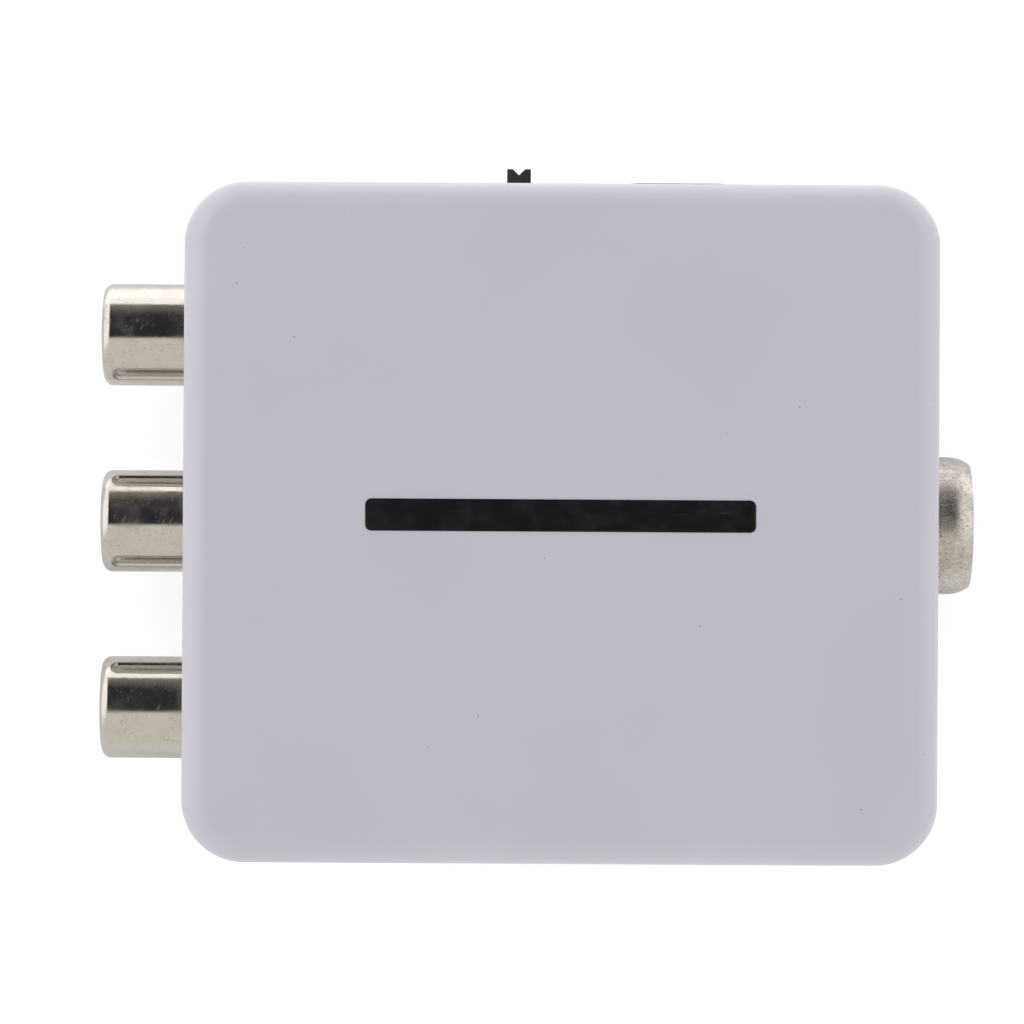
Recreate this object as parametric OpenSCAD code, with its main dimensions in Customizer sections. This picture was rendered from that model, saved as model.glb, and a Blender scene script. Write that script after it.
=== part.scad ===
// Mini radio-frequency modulator: a small two-part plastic case with three audio and video input
// jacks on one end, an aerial socket on the other, and a power socket and channel switch at the back.
// Millimetres. The origin is the middle of the case's underside. +X points to the aerial socket,
// +Y to the side with the switch, +Z up through the lid.

/* [Case] */
// Length of the case, between its jack end and its aerial end
case_l = 60.5; // [58:0.5:72]
// Width of the case
case_w = 54.5; // [54:0.5:66]
// Height of the case
case_h = 20; // [19:0.5:26]
// Radius of the case's upright corners
corner_r = 5; // [3.5:0.5:7]
// Rounding of the lid's and floor's outer edges
edge_r = 2; // [0.8:0.2:2.4]
// Thickness of the side walls
wall_t = 1.6; // [1.3:0.1:1.9]
// Thickness of the floor and the lid
floor_t = 1.6; // [1.2:0.1:2]
// Diameter of the four posts that join the halves
post_d = 4.6; // [4.2:0.1:4.8]
// Diameter of the pegs on the lower posts
peg_d = 2.4; // [1.8:0.1:2.6]

/* [Circuit board] */
// Thickness of the circuit board
board_t = 1.6; // [1:0.2:2]
// Height of the board above the floor
standoff_h = 1.6; // [1.2:0.2:2.4]
// Gap between the board's edge and the case wall
board_gap = 0.4; // [0.2:0.1:0.8]

/* [Input jacks] */
// Gap between the jack block's ends and the posts, which sets the spacing of the jacks
block_end_gap = 0.55; // [0.3:0.05:0.9]
// How far a jack stands out of the case
jack_proud = 7; // [5:0.1:9]
// Outside diameter of a jack's metal barrel
jack_d = 8.3; // [8:0.1:8.6]
// Height of the jack axes above the board
jack_axis_h = 5.2; // [5:0.1:6]
// Diameter of the hole in a jack's centre contact
jack_pin_d = 3.2; // [3.1:0.05:3.4]
// Thickness of the barrel's sheet metal
jack_metal_t = 0.35; // [0.25:0.05:0.45]
// Outer radius of the rolled lip at a barrel's mouth
jack_lip_r = 0.75; // [0.55:0.05:0.9]
// Depth of the jack block, into the case
block_l = 9.5; // [9.2:0.1:12]

/* [Aerial socket] */
// Outside diameter of the aerial socket's collar
rf_d = 11.2; // [10.8:0.1:11.8]
// Bore of the collar, which takes the plug's sleeve
rf_bore_d = 9.6; // [9.4:0.1:9.8]
// How far the collar stands out of the case
rf_proud = 3.1; // [2.2:0.1:5]
// Depth of the collar's bore
rf_bore_l = 9.8; // [9:0.1:10.4]
// Bore of the aerial socket's centre contact
rf_pin_d = 2.4; // [2.2:0.1:2.6]
// Radius of the collar's rounded nose
rf_nose_r = 3; // [2.6:0.1:4]

/* [Power socket] */
// Width of the power socket's shell
usb_w = 7.7; // [7.4:0.1:8]
// Height of the power socket's shell
usb_h = 3.95; // [3.8:0.05:4.2]
// Length of the power socket's shell
usb_l = 9.2; // [8.6:0.1:10]
// Place of the power socket along the case
usb_x = 9.5; // [8.4:0.1:11]
// How far the power socket stands out of the case
usb_proud = 0.7; // [0:0.05:1.2]

/* [Channel switch] */
// Place of the switch body along the case
switch_x = -2.5; // [-6:0.1:-2]
// Width of the knob
knob_w = 1.85; // [1.5:0.05:2.2]
// Height of the knob
knob_h = 1.6; // [1.2:0.1:1.8]
// How far the knob stands out of the case
knob_proud = 1.8; // [0.8:0.1:3]
// Travel of the knob between its two positions
switch_travel = 2; // [1.5:0.1:2.4]

/* [Printed stripe] */
// Length of the printed stripe on the lid
stripe_l = 31; // [20:0.2:40]
// Width of the printed stripe
stripe_w = 2.5; // [1.5:0.1:4]
// Place of the stripe across the lid
stripe_y = 0.65; // [-6:0.05:6]

/* [Hidden] */
$fn = 64;

// Colours
case_colour = [0.78, 0.76, 0.81];
ink_colour = [0.09, 0.09, 0.1];
black_plastic = [0.13, 0.13, 0.13];
nickel = [0.76, 0.74, 0.7];
cast_nickel = [0.66, 0.64, 0.61];
tin = [0.8, 0.8, 0.8];
board_colour = [0.08, 0.35, 0.18];
yellow_plastic = [0.93, 0.76, 0.12];
white_plastic = [0.93, 0.93, 0.9];
red_plastic = [0.78, 0.1, 0.1];
gold = [0.83, 0.66, 0.3];

// Clearances and the overrun that carries a cut past a face
slip = 0.05;
hole_gap = 0.1;
pin_gap = 0.15;
part_gap = 0.35;
cut_over = 1;

// Levels of the board, and of the seam, which runs through the axes of the round sockets
board_bottom = floor_t + standoff_h;
board_top = board_bottom + board_t;
seam_z = board_top + jack_axis_h;
leg_poke = 0.8;
leg_l = board_t + leg_poke;

// Inner faces of the walls
wall_in_x = case_l / 2 - wall_t;
wall_in_y = case_w / 2 - wall_t;
lid_in = case_h - floor_t;
inner_corner_r = corner_r - wall_t;

// Lip round the lower shell, its rebate in the upper one, and the shadow line at the seam
lip_t = 0.7;
lip_h = 1;
shadow_w = 0.3;
shadow_d = 0.25;

// Posts and ribs of the shells
post_r = post_d / 2;
post_wall_gap = 0.2;
post_x = wall_in_x - max(inner_corner_r, post_r + post_wall_gap);
post_y = wall_in_y - post_r - post_wall_gap;
peg_up = 2.5;
floor_rib_t = 1;
floor_rib_l = 30;
floor_rib_y = 15;
hold_rib_l = 7;
hold_rib_t = 1.2;

// Room round the sockets and the knob where they pass the wall
jack_hole_gap = 0.65;
rf_hole_gap = 0.3;
usb_hole_gap = 0.4;
knob_hole_gap = 0.35;
finger_gap = 0.1;

// Board outline
board_l = 2 * (wall_in_x - board_gap);
board_w = 2 * (wall_in_y - board_gap);
board_corner_r = max(inner_corner_r - board_gap, board_gap);

// Jacks: each is drawn on its own axis, with zero at the front face of the block and +X into the case
cell_w = 10.2;
jack_pitch = post_y - post_r - block_end_gap - cell_w / 2;
jack_r = jack_d / 2;
jack_ys = [jack_pitch, 0, -jack_pitch];
groove_sides = [[-1], [-1, 1], [1]];
flange_t = 0.4;
flange_w = 9.6;
block_x = -wall_in_x + part_gap + flange_t;
barrel_l = jack_proud + wall_t + part_gap + flange_t;
barrel_in_r = jack_r - jack_metal_t;
mouth_r = 3.1;
ground_leg_w = 1.2;
groove_r = 0.55;
groove_sink = 0.35;
groove_start = 1.05;
groove_angle = 51;
groove_axis_r = jack_r + groove_r - groove_sink;
groove_rib_r = groove_r + jack_metal_t - slip;
groove_l = barrel_l - flange_t - groove_start - groove_r;

// Black block that the barrels are fixed to
block_w = 2 * jack_pitch + cell_w;
block_top = 4.9;
block_relief = 0.9;
block_peg_r = 0.75;
block_peg_x = 5;
neck_r = 3.6;
neck_l = 2.2;

// Coloured inserts and centre contacts
insert_front = -barrel_l + jack_metal_t + slip;
insert_shoulder = -barrel_l + jack_lip_r;
insert_stub_r = jack_r - jack_lip_r - hole_gap;
insert_hole_room = 0.3;
insert_hole_r = jack_pin_d / 2 + insert_hole_room;
insert_hole_flare = 0.4;
contact_t = 0.4;
contact_r = jack_pin_d / 2 + contact_t;
contact_recess = 0.6;
contact_l = 6.4;
contact_slot_w = 0.4;
contact_slot_l = 4;
contact_front = insert_front + contact_recess + slip;
contact_rear = contact_front + contact_l;
tail_w = 0.6;
tail_t = 0.5;
tail_inset = 3;
tail_hole_r = 0.5;
tail_x = block_l - tail_inset;

// Aerial socket: drawn on its own axis, with zero at its front face and -X into the case
rf_r = rf_d / 2;
rf_bore_r = rf_bore_d / 2;
rf_pin_r = rf_pin_d / 2;
rf_nose_l = 1.75;
rf_mouth_flare = 0.12;
rf_block_l = 6.5;
rf_block_w = 13;
rf_block_top = 4.4;
rf_block_x = wall_in_x - part_gap;
rf_front_x = case_l / 2 + rf_proud;
rf_l = rf_front_x - rf_block_x + rf_block_l;
rf_leg_r = 0.6;
rf_leg_inset = 1.2;
rf_disc_t = 2.4;
rf_boss_r = 2.2;
rf_boss_out = 0.6;
rf_contact_wall = 0.5;
rf_contact_r = rf_pin_r + rf_contact_wall;
rf_contact_recess = 0.8;
rf_contact_seat = 0.7;
rf_contact_flare = 0.2;
rf_contact_rear = rf_bore_l - rf_disc_t + rf_contact_seat;
rf_slot_w = 0.35;
rf_slot_l = 5.5;
rf_tail_w = 0.8;
rf_tail_t = 0.5;
rf_tail_hole_r = 0.55;
rf_tail_back = 1.6;
rf_tail_l = rf_l + rf_tail_back;

// Power socket: drawn from the middle of its front edge on the board, with -Y into the case
usb_half_shares = [[0.5, 1], [0.5, 0.46], [0.42, 0.3], [0.42, 0]];
usb_tab_root_share = 0.4;
usb_metal_t = 0.3;
usb_block_l = 3;
usb_tongue_w = 4.4;
usb_tongue_t = 0.8;
usb_tongue_z = 1.9;
usb_tongue_recess = 1.2;
usb_tab_l = 1.6;
usb_tab_out = 0.7;
usb_tab_inset = 1;
usb_tab_pitch = 3.6;
usb_latch_w = 1;
usb_latch_l = 2;
usb_latch_x = 1.8;
usb_latch_back = 2.2;
usb_pins = 5;
usb_pin_pitch = 0.8;
usb_pin_w = 0.35;
usb_pin_t = 0.2;
usb_pin_recess = 0.4;
usb_pin_out = 0.7;
usb_pins_w = (usb_pins - 1) * usb_pin_pitch + usb_pin_w;
usb_foot_l = 0.8;
usb_y = case_w / 2 + usb_proud;
usb_hole_w = usb_w + 2 * usb_hole_gap;
usb_hole_top = board_top + usb_h + usb_hole_gap;

// Channel switch: drawn from the middle of its front edge on the board, with -Y into the case
switch_l = 9;
switch_d = 3.8;
switch_h = 3.6;
switch_metal_t = 0.3;
switch_base_t = 1.2;
switch_leg_w = 1.2;
slider_l = 4;
slider_t = 1.6;
slider_h = 2.6;
slider_y = -switch_metal_t - hole_gap;
wiper_strip_t = 0.15;
wiper_w = 1;
wiper_l = 3.2;
wiper_bump_r = 0.25;
pad_t = 0.1;
pad_w = 1.1;
pad_h = 1.4;
pin_pitch = 2.5;
pin_w = 0.5;
pin_out = 0.7;
knob_z = switch_h / 2;
notch_w = 1.1;
notch_d = 0.55;
switch_y = wall_in_y - part_gap;
knob_rest_x = -switch_travel / 2;
knob_l = case_w / 2 + knob_proud - switch_y;
knob_hole_w = knob_w + switch_travel + 2 * knob_hole_gap;
knob_hole_top = board_top + knob_z + knob_h / 2 + knob_hole_gap;

// Stripe
stripe_t = 0.05;
stripe_r = 0.5;

// Screening can
shield_l = 16.5;
shield_w = 17;
shield_h = 4.2;
shield_metal_t = 0.3;
shield_lid_t = 0.2;
shield_skirt = 2;
shield_gap = 1.2;
shield_arch_w = 2;
shield_arch_h = 1;
shield_x = rf_front_x - rf_tail_l - rf_tail_t - shield_gap - shield_l / 2;
shield_hole_r = 0.6;
shield_hole_pitch = 2.6;
shield_hole_rows = 5;

// Modulator chip
chip_x = -4;
chip_y = 4;
chip_l = 10.3;
chip_w = 7.5;
chip_t = 2.3;
chip_lift = 0.2;
chip_pins = 8;
chip_pin_pitch = 1.27;
chip_pin_w = 0.4;
chip_pin_t = 0.25;
chip_pin_out = 1.4;
chip_pin_foot = 0.8;
chip_dot_r = 0.6;
chip_dot_sink = 0.1;
chip_dot_inset = 1.3;

// Small chip parts
chip_part_l = 2;
chip_part_w = 1.25;
resistor_t = 0.5;
capacitor_t = 0.8;
part_pitch = 2.6;
resistor_count = 7;
capacitor_count = 7;
resistor_row_gap = 1.05;
capacitor_row_gap = 2.75;
shield_edge_y = shield_w / 2 + slip + shield_lid_t;
resistor_row_y = shield_edge_y + resistor_row_gap + chip_part_l / 2;
capacitor_row_y = -(shield_edge_y + capacitor_row_gap + chip_part_l / 2);
part_row_x = shield_x;

// Voltage regulator
reg_l = 6.5;
reg_w = 3.5;
reg_t = 1.6;
reg_tab_w = 3;
reg_lead_out = 1.6;
reg_lead_w = 0.7;
reg_lead_t = 0.3;
reg_lead_pitch = 2.3;
reg_gap_x = 2.2;
reg_x = usb_x + usb_w / 2 + reg_gap_x + reg_w / 2;
reg_gap_y = 1.4;
reg_y = resistor_row_y + chip_part_l / 2 + reg_gap_y + reg_l / 2;

// Crystal
crystal_l = 11;
crystal_w = 4.6;
crystal_h = 3.5;
crystal_base_t = 0.6;
crystal_rim = 0.3;
crystal_gap = 2;
crystal_edge_r = 0.5;
crystal_x = block_x + block_l + crystal_gap + crystal_l / 2;
crystal_y = -8;

// Electrolytic capacitors
can_r = 2.5;
can_h = 5.2;
can_edge_r = 0.4;
can_base_w = 5.4;
can_base_t = 0.6;
can_base_cut = 1;
can_x = block_x + block_l + can_base_w;
can_ys = [4, 10.5, 17];

// Turns a shape drawn up the Z axis to lie along +X, or along -X
module along_x() {
    rotate([0, 90, 0]) children();
}

module along_minus_x() {
    rotate([0, -90, 0]) children();
}

// A rectangle with round corners, centred on the origin
module rounded_rectangle(l, w, r) {
    square([l - 2 * r, w], center = true);
    square([l, w - 2 * r], center = true);
    for (sx = [-1, 1], sy = [-1, 1]) {
        translate([sx * (l / 2 - r), sy * (w / 2 - r)]) circle(r);
    }
}

module rounded_plate(l, w, h, r) {
    linear_extrude(h) rounded_rectangle(l, w, r);
}

// Half section of a round-edged form: it reaches r out and h up, with a far corner of radius e
module edge_profile(r, e, h) {
    square([r - e, h]);
    square([r, h - e]);
    translate([r - e, h - e]) intersection() {
        circle(e);
        square(e);
    }
}

// A block with round upright corners and a rounded top edge
module case_block(l, w, h, r, e) {
    translate([-(l / 2 - r), -(w / 2 - r), 0]) cube([l - 2 * r, w - 2 * r, h]);
    for (side = [0, 1]) {
        mirror([0, side, 0]) translate([-(l / 2 - r), w / 2 - r, 0])
            rotate([90, 0, 90]) linear_extrude(l - 2 * r) edge_profile(r, e, h);
        mirror([side, 0, 0]) translate([l / 2 - r, w / 2 - r, 0])
            rotate([90, 0, 0]) linear_extrude(w - 2 * r) edge_profile(r, e, h);
    }
    for (sx = [0, 1], sy = [0, 1]) {
        mirror([sx, 0, 0]) mirror([0, sy, 0]) translate([l / 2 - r, w / 2 - r, 0])
            rotate_extrude(angle = 90) edge_profile(r, e, h);
    }
}

// A ring that follows the case's outline, from inset a in to inset b, at heights z0 to z1
module outline_ring(a, b, z0, z1) {
    translate([0, 0, z0]) difference() {
        rounded_plate(case_l - 2 * a, case_w - 2 * a, z1 - z0, corner_r - a);
        translate([0, 0, -cut_over])
            rounded_plate(case_l - 2 * b, case_w - 2 * b, z1 - z0 + 2 * cut_over, corner_r - b);
    }
}

// Round holes for the three jacks and the aerial socket
module round_holes() {
    for (y = jack_ys) {
        translate([-case_l / 2 - cut_over, y, seam_z]) along_x()
            cylinder(h = wall_t + 2 * cut_over, r = jack_r + jack_hole_gap);
    }
    translate([wall_in_x - cut_over, 0, seam_z]) along_x()
        cylinder(h = wall_t + 2 * cut_over, r = rf_r + rf_hole_gap);
}

// Notches for the power socket and the switch knob, open at the top of the lower shell
module rear_notches() {
    usb_z = board_top - usb_hole_gap;
    knob_z0 = board_top + knob_z - knob_h / 2 - knob_hole_gap;
    top_z = seam_z + lip_h + cut_over;
    translate([usb_x - usb_hole_w / 2, wall_in_y - cut_over, usb_z])
        cube([usb_hole_w, wall_t + 2 * cut_over, top_z - usb_z]);
    translate([switch_x - knob_hole_w / 2, wall_in_y - cut_over, knob_z0])
        cube([knob_hole_w, wall_t + 2 * cut_over, top_z - knob_z0]);
}

// Fingers of the upper shell that close the notches above the power socket and the knob
module notch_fingers() {
    top_z = seam_z + lip_h + hole_gap;
    translate([usb_x - usb_hole_w / 2 + finger_gap, wall_in_y, usb_hole_top])
        cube([usb_hole_w - 2 * finger_gap, wall_t, top_z - usb_hole_top]);
    translate([switch_x - knob_hole_w / 2 + finger_gap, wall_in_y, knob_hole_top])
        cube([knob_hole_w - 2 * finger_gap, wall_t, top_z - knob_hole_top]);
}

module at_posts() {
    for (sx = [-1, 1], sy = [-1, 1]) {
        translate([sx * post_x, sy * post_y, 0]) children();
    }
}

// Upper shell, with sockets for the pegs and ribs that hold the jack block down
module top_shell() {
    rib_z = seam_z + block_top + hole_gap;
    color(case_colour) {
        difference() {
            translate([0, 0, seam_z]) case_block(case_l, case_w, case_h - seam_z, corner_r, edge_r);
            translate([0, 0, seam_z - cut_over]) rounded_plate(
                2 * wall_in_x, 2 * wall_in_y, lid_in - seam_z + cut_over, inner_corner_r
            );
            translate([0, 0, seam_z - cut_over]) rounded_plate(
                2 * (wall_in_x + lip_t + hole_gap), 2 * (wall_in_y + lip_t + hole_gap),
                lip_h + hole_gap + cut_over, inner_corner_r + lip_t + hole_gap
            );
            outline_ring(-cut_over, shadow_d, seam_z - cut_over, seam_z + shadow_w);
            round_holes();
        }
        notch_fingers();
        at_posts() difference() {
            translate([0, 0, board_top]) cylinder(h = lid_in - board_top + slip, r = post_r);
            translate([0, 0, board_top - cut_over])
                cylinder(h = peg_up + hole_gap + cut_over, r = peg_d / 2 + slip);
        }
        for (side = [-1, 1]) {
            translate([block_x + block_relief, side * jack_pitch / 2 - hold_rib_t / 2, rib_z])
                cube([hold_rib_l, hold_rib_t, lid_in - rib_z + slip]);
        }
    }
}

// Lower shell, with pegged posts and ribs under the board
module bottom_shell() {
    color(case_colour) {
        difference() {
            union() {
                translate([0, 0, seam_z]) mirror([0, 0, 1])
                    case_block(case_l, case_w, seam_z, corner_r, edge_r);
                outline_ring(wall_t - lip_t, wall_t, seam_z - slip, seam_z + lip_h);
            }
            translate([0, 0, floor_t]) rounded_plate(
                2 * wall_in_x, 2 * wall_in_y, seam_z + lip_h - floor_t + cut_over, inner_corner_r
            );
            round_holes();
            rear_notches();
        }
        at_posts() {
            translate([0, 0, floor_t - slip]) cylinder(h = standoff_h + slip, r = post_r);
            translate([0, 0, board_bottom - slip])
                cylinder(h = board_t + peg_up + slip, r = peg_d / 2);
        }
        for (side = [-1, 1]) {
            translate([-floor_rib_l / 2, side * floor_rib_y - floor_rib_t / 2, floor_t - slip])
                cube([floor_rib_l, floor_rib_t, standoff_h + slip]);
        }
    }
}

module printed_stripe() {
    color(ink_colour) translate([0, stripe_y, case_h])
        rounded_plate(stripe_l, stripe_w, stripe_t, stripe_r);
}

// Box cut through the board, centred on a point in plan
module board_slot(x, y, l, w) {
    translate([x - l / 2, y - w / 2, -cut_over]) cube([l, w, board_t + 2 * cut_over]);
}

module board_hole(x, y, r) {
    translate([x, y, -cut_over]) cylinder(h = board_t + 2 * cut_over, r = r);
}

module circuit_board() {
    leg_x = block_x - flange_t / 2;
    frame_leg_x = switch_l / 2 - switch_metal_t / 2;
    color(board_colour) translate([0, 0, board_bottom]) difference() {
        rounded_plate(board_l, board_w, board_t, board_corner_r);
        at_posts() board_hole(0, 0, peg_d / 2 + pin_gap);
        for (y = jack_ys) {
            board_slot(leg_x, y, flange_t + 2 * pin_gap, ground_leg_w + 2 * pin_gap);
            board_slot(block_x + tail_x, y, tail_t + 2 * pin_gap, tail_w + 2 * pin_gap);
        }
        for (side = [-1, 1]) {
            board_hole(block_x + block_peg_x, side * jack_pitch / 2, block_peg_r + hole_gap);
            board_slot(
                switch_x + side * frame_leg_x, switch_y - switch_d / 2,
                switch_metal_t + 2 * pin_gap, switch_leg_w + 2 * pin_gap
            );
        }
        // room for the aerial socket's round belly, and holes for its legs and tail
        translate([rf_front_x, 0, board_t + jack_axis_h]) along_minus_x()
            cylinder(h = rf_l + pin_gap, r = rf_r + pin_gap);
        for (x = rf_leg_xs(), side = [-1, 1]) {
            board_hole(rf_front_x + x, side * (rf_block_w / 2 - rf_leg_inset), rf_leg_r + pin_gap);
        }
        board_slot(rf_front_x - rf_tail_l, 0, rf_tail_t + 2 * pin_gap, rf_tail_w + 2 * pin_gap);
        for (x = switch_pin_xs()) {
            board_slot(switch_x + x, switch_y - switch_d - pin_out + pin_w / 2,
                pin_w + 2 * pin_gap, pin_w + 2 * pin_gap);
        }
    }
}

module at_jack(i) {
    translate([block_x, jack_ys[i], seam_z]) children();
}

// Round-ended bar of radius r along each pressed groove of jack i
module groove_bars(i, r) {
    for (side = groove_sides[i]) {
        rotate([-side * groove_angle, 0, 0])
            translate([-barrel_l + groove_start + groove_r, 0, groove_axis_r]) along_x()
                rotate_extrude() {
                    square([r, groove_l]);
                    intersection() {
                        circle(r);
                        translate([0, -r]) square(r);
                    }
                }
    }
}

// Tube of the barrel with the lip rolled in at its mouth, as radius and height
module barrel_profile() {
    lip_c = jack_r - jack_lip_r;
    translate([barrel_in_r, -barrel_l + jack_lip_r]) square([jack_metal_t, barrel_l - jack_lip_r]);
    translate([lip_c, -barrel_l + jack_lip_r]) intersection() {
        difference() {
            circle(jack_lip_r);
            circle(jack_lip_r - jack_metal_t);
        }
        translate([0, -jack_lip_r]) square(jack_lip_r);
    }
    translate([mouth_r, -barrel_l]) square([lip_c - mouth_r, jack_metal_t]);
}

// Pressed metal barrel: rolled lip, pressed grooves, square flange and ground leg
module jack_barrel(i) {
    color(nickel) at_jack(i) difference() {
        union() {
            along_x() rotate_extrude() barrel_profile();
            difference() {
                union() {
                    translate([-flange_t, -flange_w / 2, -flange_w / 2])
                        cube([flange_t, flange_w, flange_w]);
                    translate([-flange_t, -ground_leg_w / 2, -jack_axis_h - leg_l])
                        cube([flange_t, ground_leg_w, jack_axis_h + leg_l - jack_r]);
                }
                translate([-flange_t - cut_over, 0, 0]) along_x()
                    cylinder(h = flange_t + 2 * cut_over, r = barrel_in_r + slip);
            }
            intersection() {
                translate([-barrel_l + jack_lip_r, 0, 0]) along_x()
                    cylinder(h = barrel_l - jack_lip_r - flange_t, r = barrel_in_r + slip);
                groove_bars(i, groove_rib_r);
            }
        }
        groove_bars(i, groove_r);
    }
}

module jack_barrel_yellow() { jack_barrel(0); }
module jack_barrel_white() { jack_barrel(1); }
module jack_barrel_red() { jack_barrel(2); }

// Coloured insulating insert inside a barrel, with its neck in the block
module jack_insert(i, colour) {
    body_r = barrel_in_r - slip;
    pocket_r = contact_r + slip;
    pocket_front = contact_front - slip;
    pocket_rear = contact_rear + slip;
    color(colour) at_jack(i) difference() {
        along_x() rotate_extrude() polygon([
            [insert_hole_r + insert_hole_flare, insert_front],
            [insert_stub_r, insert_front],
            [insert_stub_r, insert_shoulder],
            [body_r, insert_shoulder],
            [body_r, 0],
            [neck_r - slip, 0],
            [neck_r - slip, neck_l - slip],
            [tail_hole_r, neck_l - slip],
            [tail_hole_r, pocket_rear],
            [pocket_r, pocket_rear],
            [pocket_r, pocket_front],
            [insert_hole_r, pocket_front],
            [insert_hole_r, insert_front + insert_hole_flare]
        ]);
        groove_bars(i, groove_rib_r + slip);
    }
}

module jack_insert_yellow() { jack_insert(0, yellow_plastic); }
module jack_insert_white() { jack_insert(1, white_plastic); }
module jack_insert_red() { jack_insert(2, red_plastic); }

// Split centre contact with a tail that runs back and down through the board
module jack_contact(i) {
    pin_r = jack_pin_d / 2;
    color(gold) at_jack(i) {
        difference() {
            along_x() rotate_extrude() polygon([
                [pin_r, contact_front],
                [contact_r, contact_front],
                [contact_r, contact_rear],
                [0, contact_rear],
                [0, contact_rear - contact_t],
                [pin_r, contact_rear - contact_t]
            ]);
            translate([contact_front - cut_over, -contact_slot_w / 2, -contact_r - cut_over])
                cube([contact_slot_l + cut_over, contact_slot_w, 2 * (contact_r + cut_over)]);
        }
        translate([contact_rear - slip, -tail_w / 2, -tail_t / 2])
            cube([tail_x + tail_t / 2 - contact_rear + slip, tail_w, tail_t]);
        translate([tail_x - tail_t / 2, -tail_w / 2, -jack_axis_h - leg_l])
            cube([tail_t, tail_w, jack_axis_h + leg_l]);
    }
}

module jack_contact_yellow() { jack_contact(0); }
module jack_contact_white() { jack_contact(1); }
module jack_contact_red() { jack_contact(2); }

// Moulded block behind the three jacks, with pegs that locate it on the board
module jack_block() {
    channel_w = tail_w + 2 * hole_gap;
    color(black_plastic) translate([block_x, 0, seam_z]) {
        difference() {
            translate([0, -block_w / 2, -jack_axis_h]) cube([block_l, block_w, jack_axis_h + block_top]);
            for (y = jack_ys) {
                translate([-cut_over, y, 0]) along_x() cylinder(h = neck_l + cut_over, r = neck_r);
                translate([neck_l - 2 * slip, y - channel_w / 2, -jack_axis_h - cut_over]) cube([
                    tail_x + tail_t / 2 + hole_gap - neck_l + 2 * slip,
                    channel_w,
                    jack_axis_h + cut_over + tail_t / 2 + hole_gap
                ]);
            }
            for (side = [-1, 1]) {
                translate([
                    -cut_over, side * jack_pitch / 2 - (jack_pitch - cell_w) / 2, -jack_axis_h - cut_over
                ]) cube([
                    block_relief + cut_over, jack_pitch - cell_w, jack_axis_h + block_top + 2 * cut_over
                ]);
            }
        }
        for (side = [-1, 1]) {
            translate([block_peg_x, side * jack_pitch / 2, -jack_axis_h - board_t])
                cylinder(h = board_t + slip, r = block_peg_r);
        }
    }
}

module at_aerial() {
    translate([rf_front_x, 0, seam_z]) children();
}

function rf_leg_xs() = [-rf_l + rf_leg_inset, -rf_l + rf_block_l - rf_leg_inset];

// Cast socket: collar with a rounded nose, square shoulder and four legs
module aerial_socket_body() {
    color(cast_nickel) at_aerial() difference() {
        union() {
            along_minus_x() rotate_extrude() {
                translate([0, rf_nose_l]) square([rf_r, rf_l - rf_nose_l]);
                square([rf_r - rf_nose_r, rf_nose_l]);
                intersection() {
                    translate([rf_r - rf_nose_r, rf_nose_l]) circle(rf_nose_r);
                    square([rf_r, rf_nose_l]);
                }
            }
            translate([-rf_l, -rf_block_w / 2, -jack_axis_h])
                cube([rf_block_l, rf_block_w, jack_axis_h + rf_block_top]);
            for (x = rf_leg_xs(), side = [-1, 1]) {
                translate([x, side * (rf_block_w / 2 - rf_leg_inset), -jack_axis_h - leg_l])
                    cylinder(h = leg_l + slip, r = rf_leg_r);
            }
        }
        along_minus_x() rotate_extrude() polygon([
            [0, -cut_over],
            [rf_bore_r + rf_mouth_flare + cut_over, -cut_over],
            [rf_bore_r, rf_mouth_flare],
            [rf_bore_r, rf_bore_l],
            [rf_boss_r + slip, rf_bore_l],
            [rf_boss_r + slip, rf_l + cut_over],
            [0, rf_l + cut_over]
        ]);
    }
}

// White disc that holds the aerial socket's centre contact, with a boss through the rear wall
module aerial_socket_insulator() {
    disc_front = rf_bore_l - rf_disc_t;
    color(white_plastic) at_aerial() along_minus_x() rotate_extrude() polygon([
        [rf_contact_r + slip, disc_front],
        [rf_bore_r - slip, disc_front],
        [rf_bore_r - slip, rf_bore_l],
        [rf_boss_r, rf_bore_l],
        [rf_boss_r, rf_l + rf_boss_out],
        [rf_tail_hole_r, rf_l + rf_boss_out],
        [rf_tail_hole_r, rf_contact_rear],
        [rf_contact_r + slip, rf_contact_rear]
    ]);
}

module aerial_socket_contact() {
    pocket_end = rf_contact_rear - rf_contact_wall;
    color(gold) at_aerial() {
        difference() {
            along_minus_x() rotate_extrude() polygon([
                [rf_pin_r + rf_contact_flare, rf_contact_recess],
                [rf_contact_r, rf_contact_recess],
                [rf_contact_r, rf_contact_rear],
                [0, rf_contact_rear],
                [0, pocket_end],
                [rf_pin_r, pocket_end],
                [rf_pin_r, rf_contact_recess + rf_contact_flare]
            ]);
            translate([
                -rf_contact_recess - rf_slot_l, -rf_slot_w / 2, -rf_contact_r - cut_over
            ]) cube([rf_slot_l + cut_over, rf_slot_w, 2 * (rf_contact_r + cut_over)]);
        }
        translate([-rf_tail_l - rf_tail_t / 2, -rf_tail_w / 2, -rf_tail_t / 2])
            cube([rf_tail_l + rf_tail_t / 2 - rf_contact_rear + slip, rf_tail_w, rf_tail_t]);
        translate([-rf_tail_l - rf_tail_t / 2, -rf_tail_w / 2, -jack_axis_h - leg_l])
            cube([rf_tail_t, rf_tail_w, jack_axis_h + leg_l]);
    }
}

module at_power_socket() {
    translate([usb_x, usb_y, board_top]) children();
}

// Section of the power socket's shell, inset by t on every side
module usb_outline(t) {
    right = [for (s = usb_half_shares) [s[0] * (usb_w - 2 * t), t + s[1] * (usb_h - 2 * t)]];
    left = [for (k = [len(right) - 1:-1:0]) [-right[k][0], right[k][1]]];
    polygon(concat(right, left));
}

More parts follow.
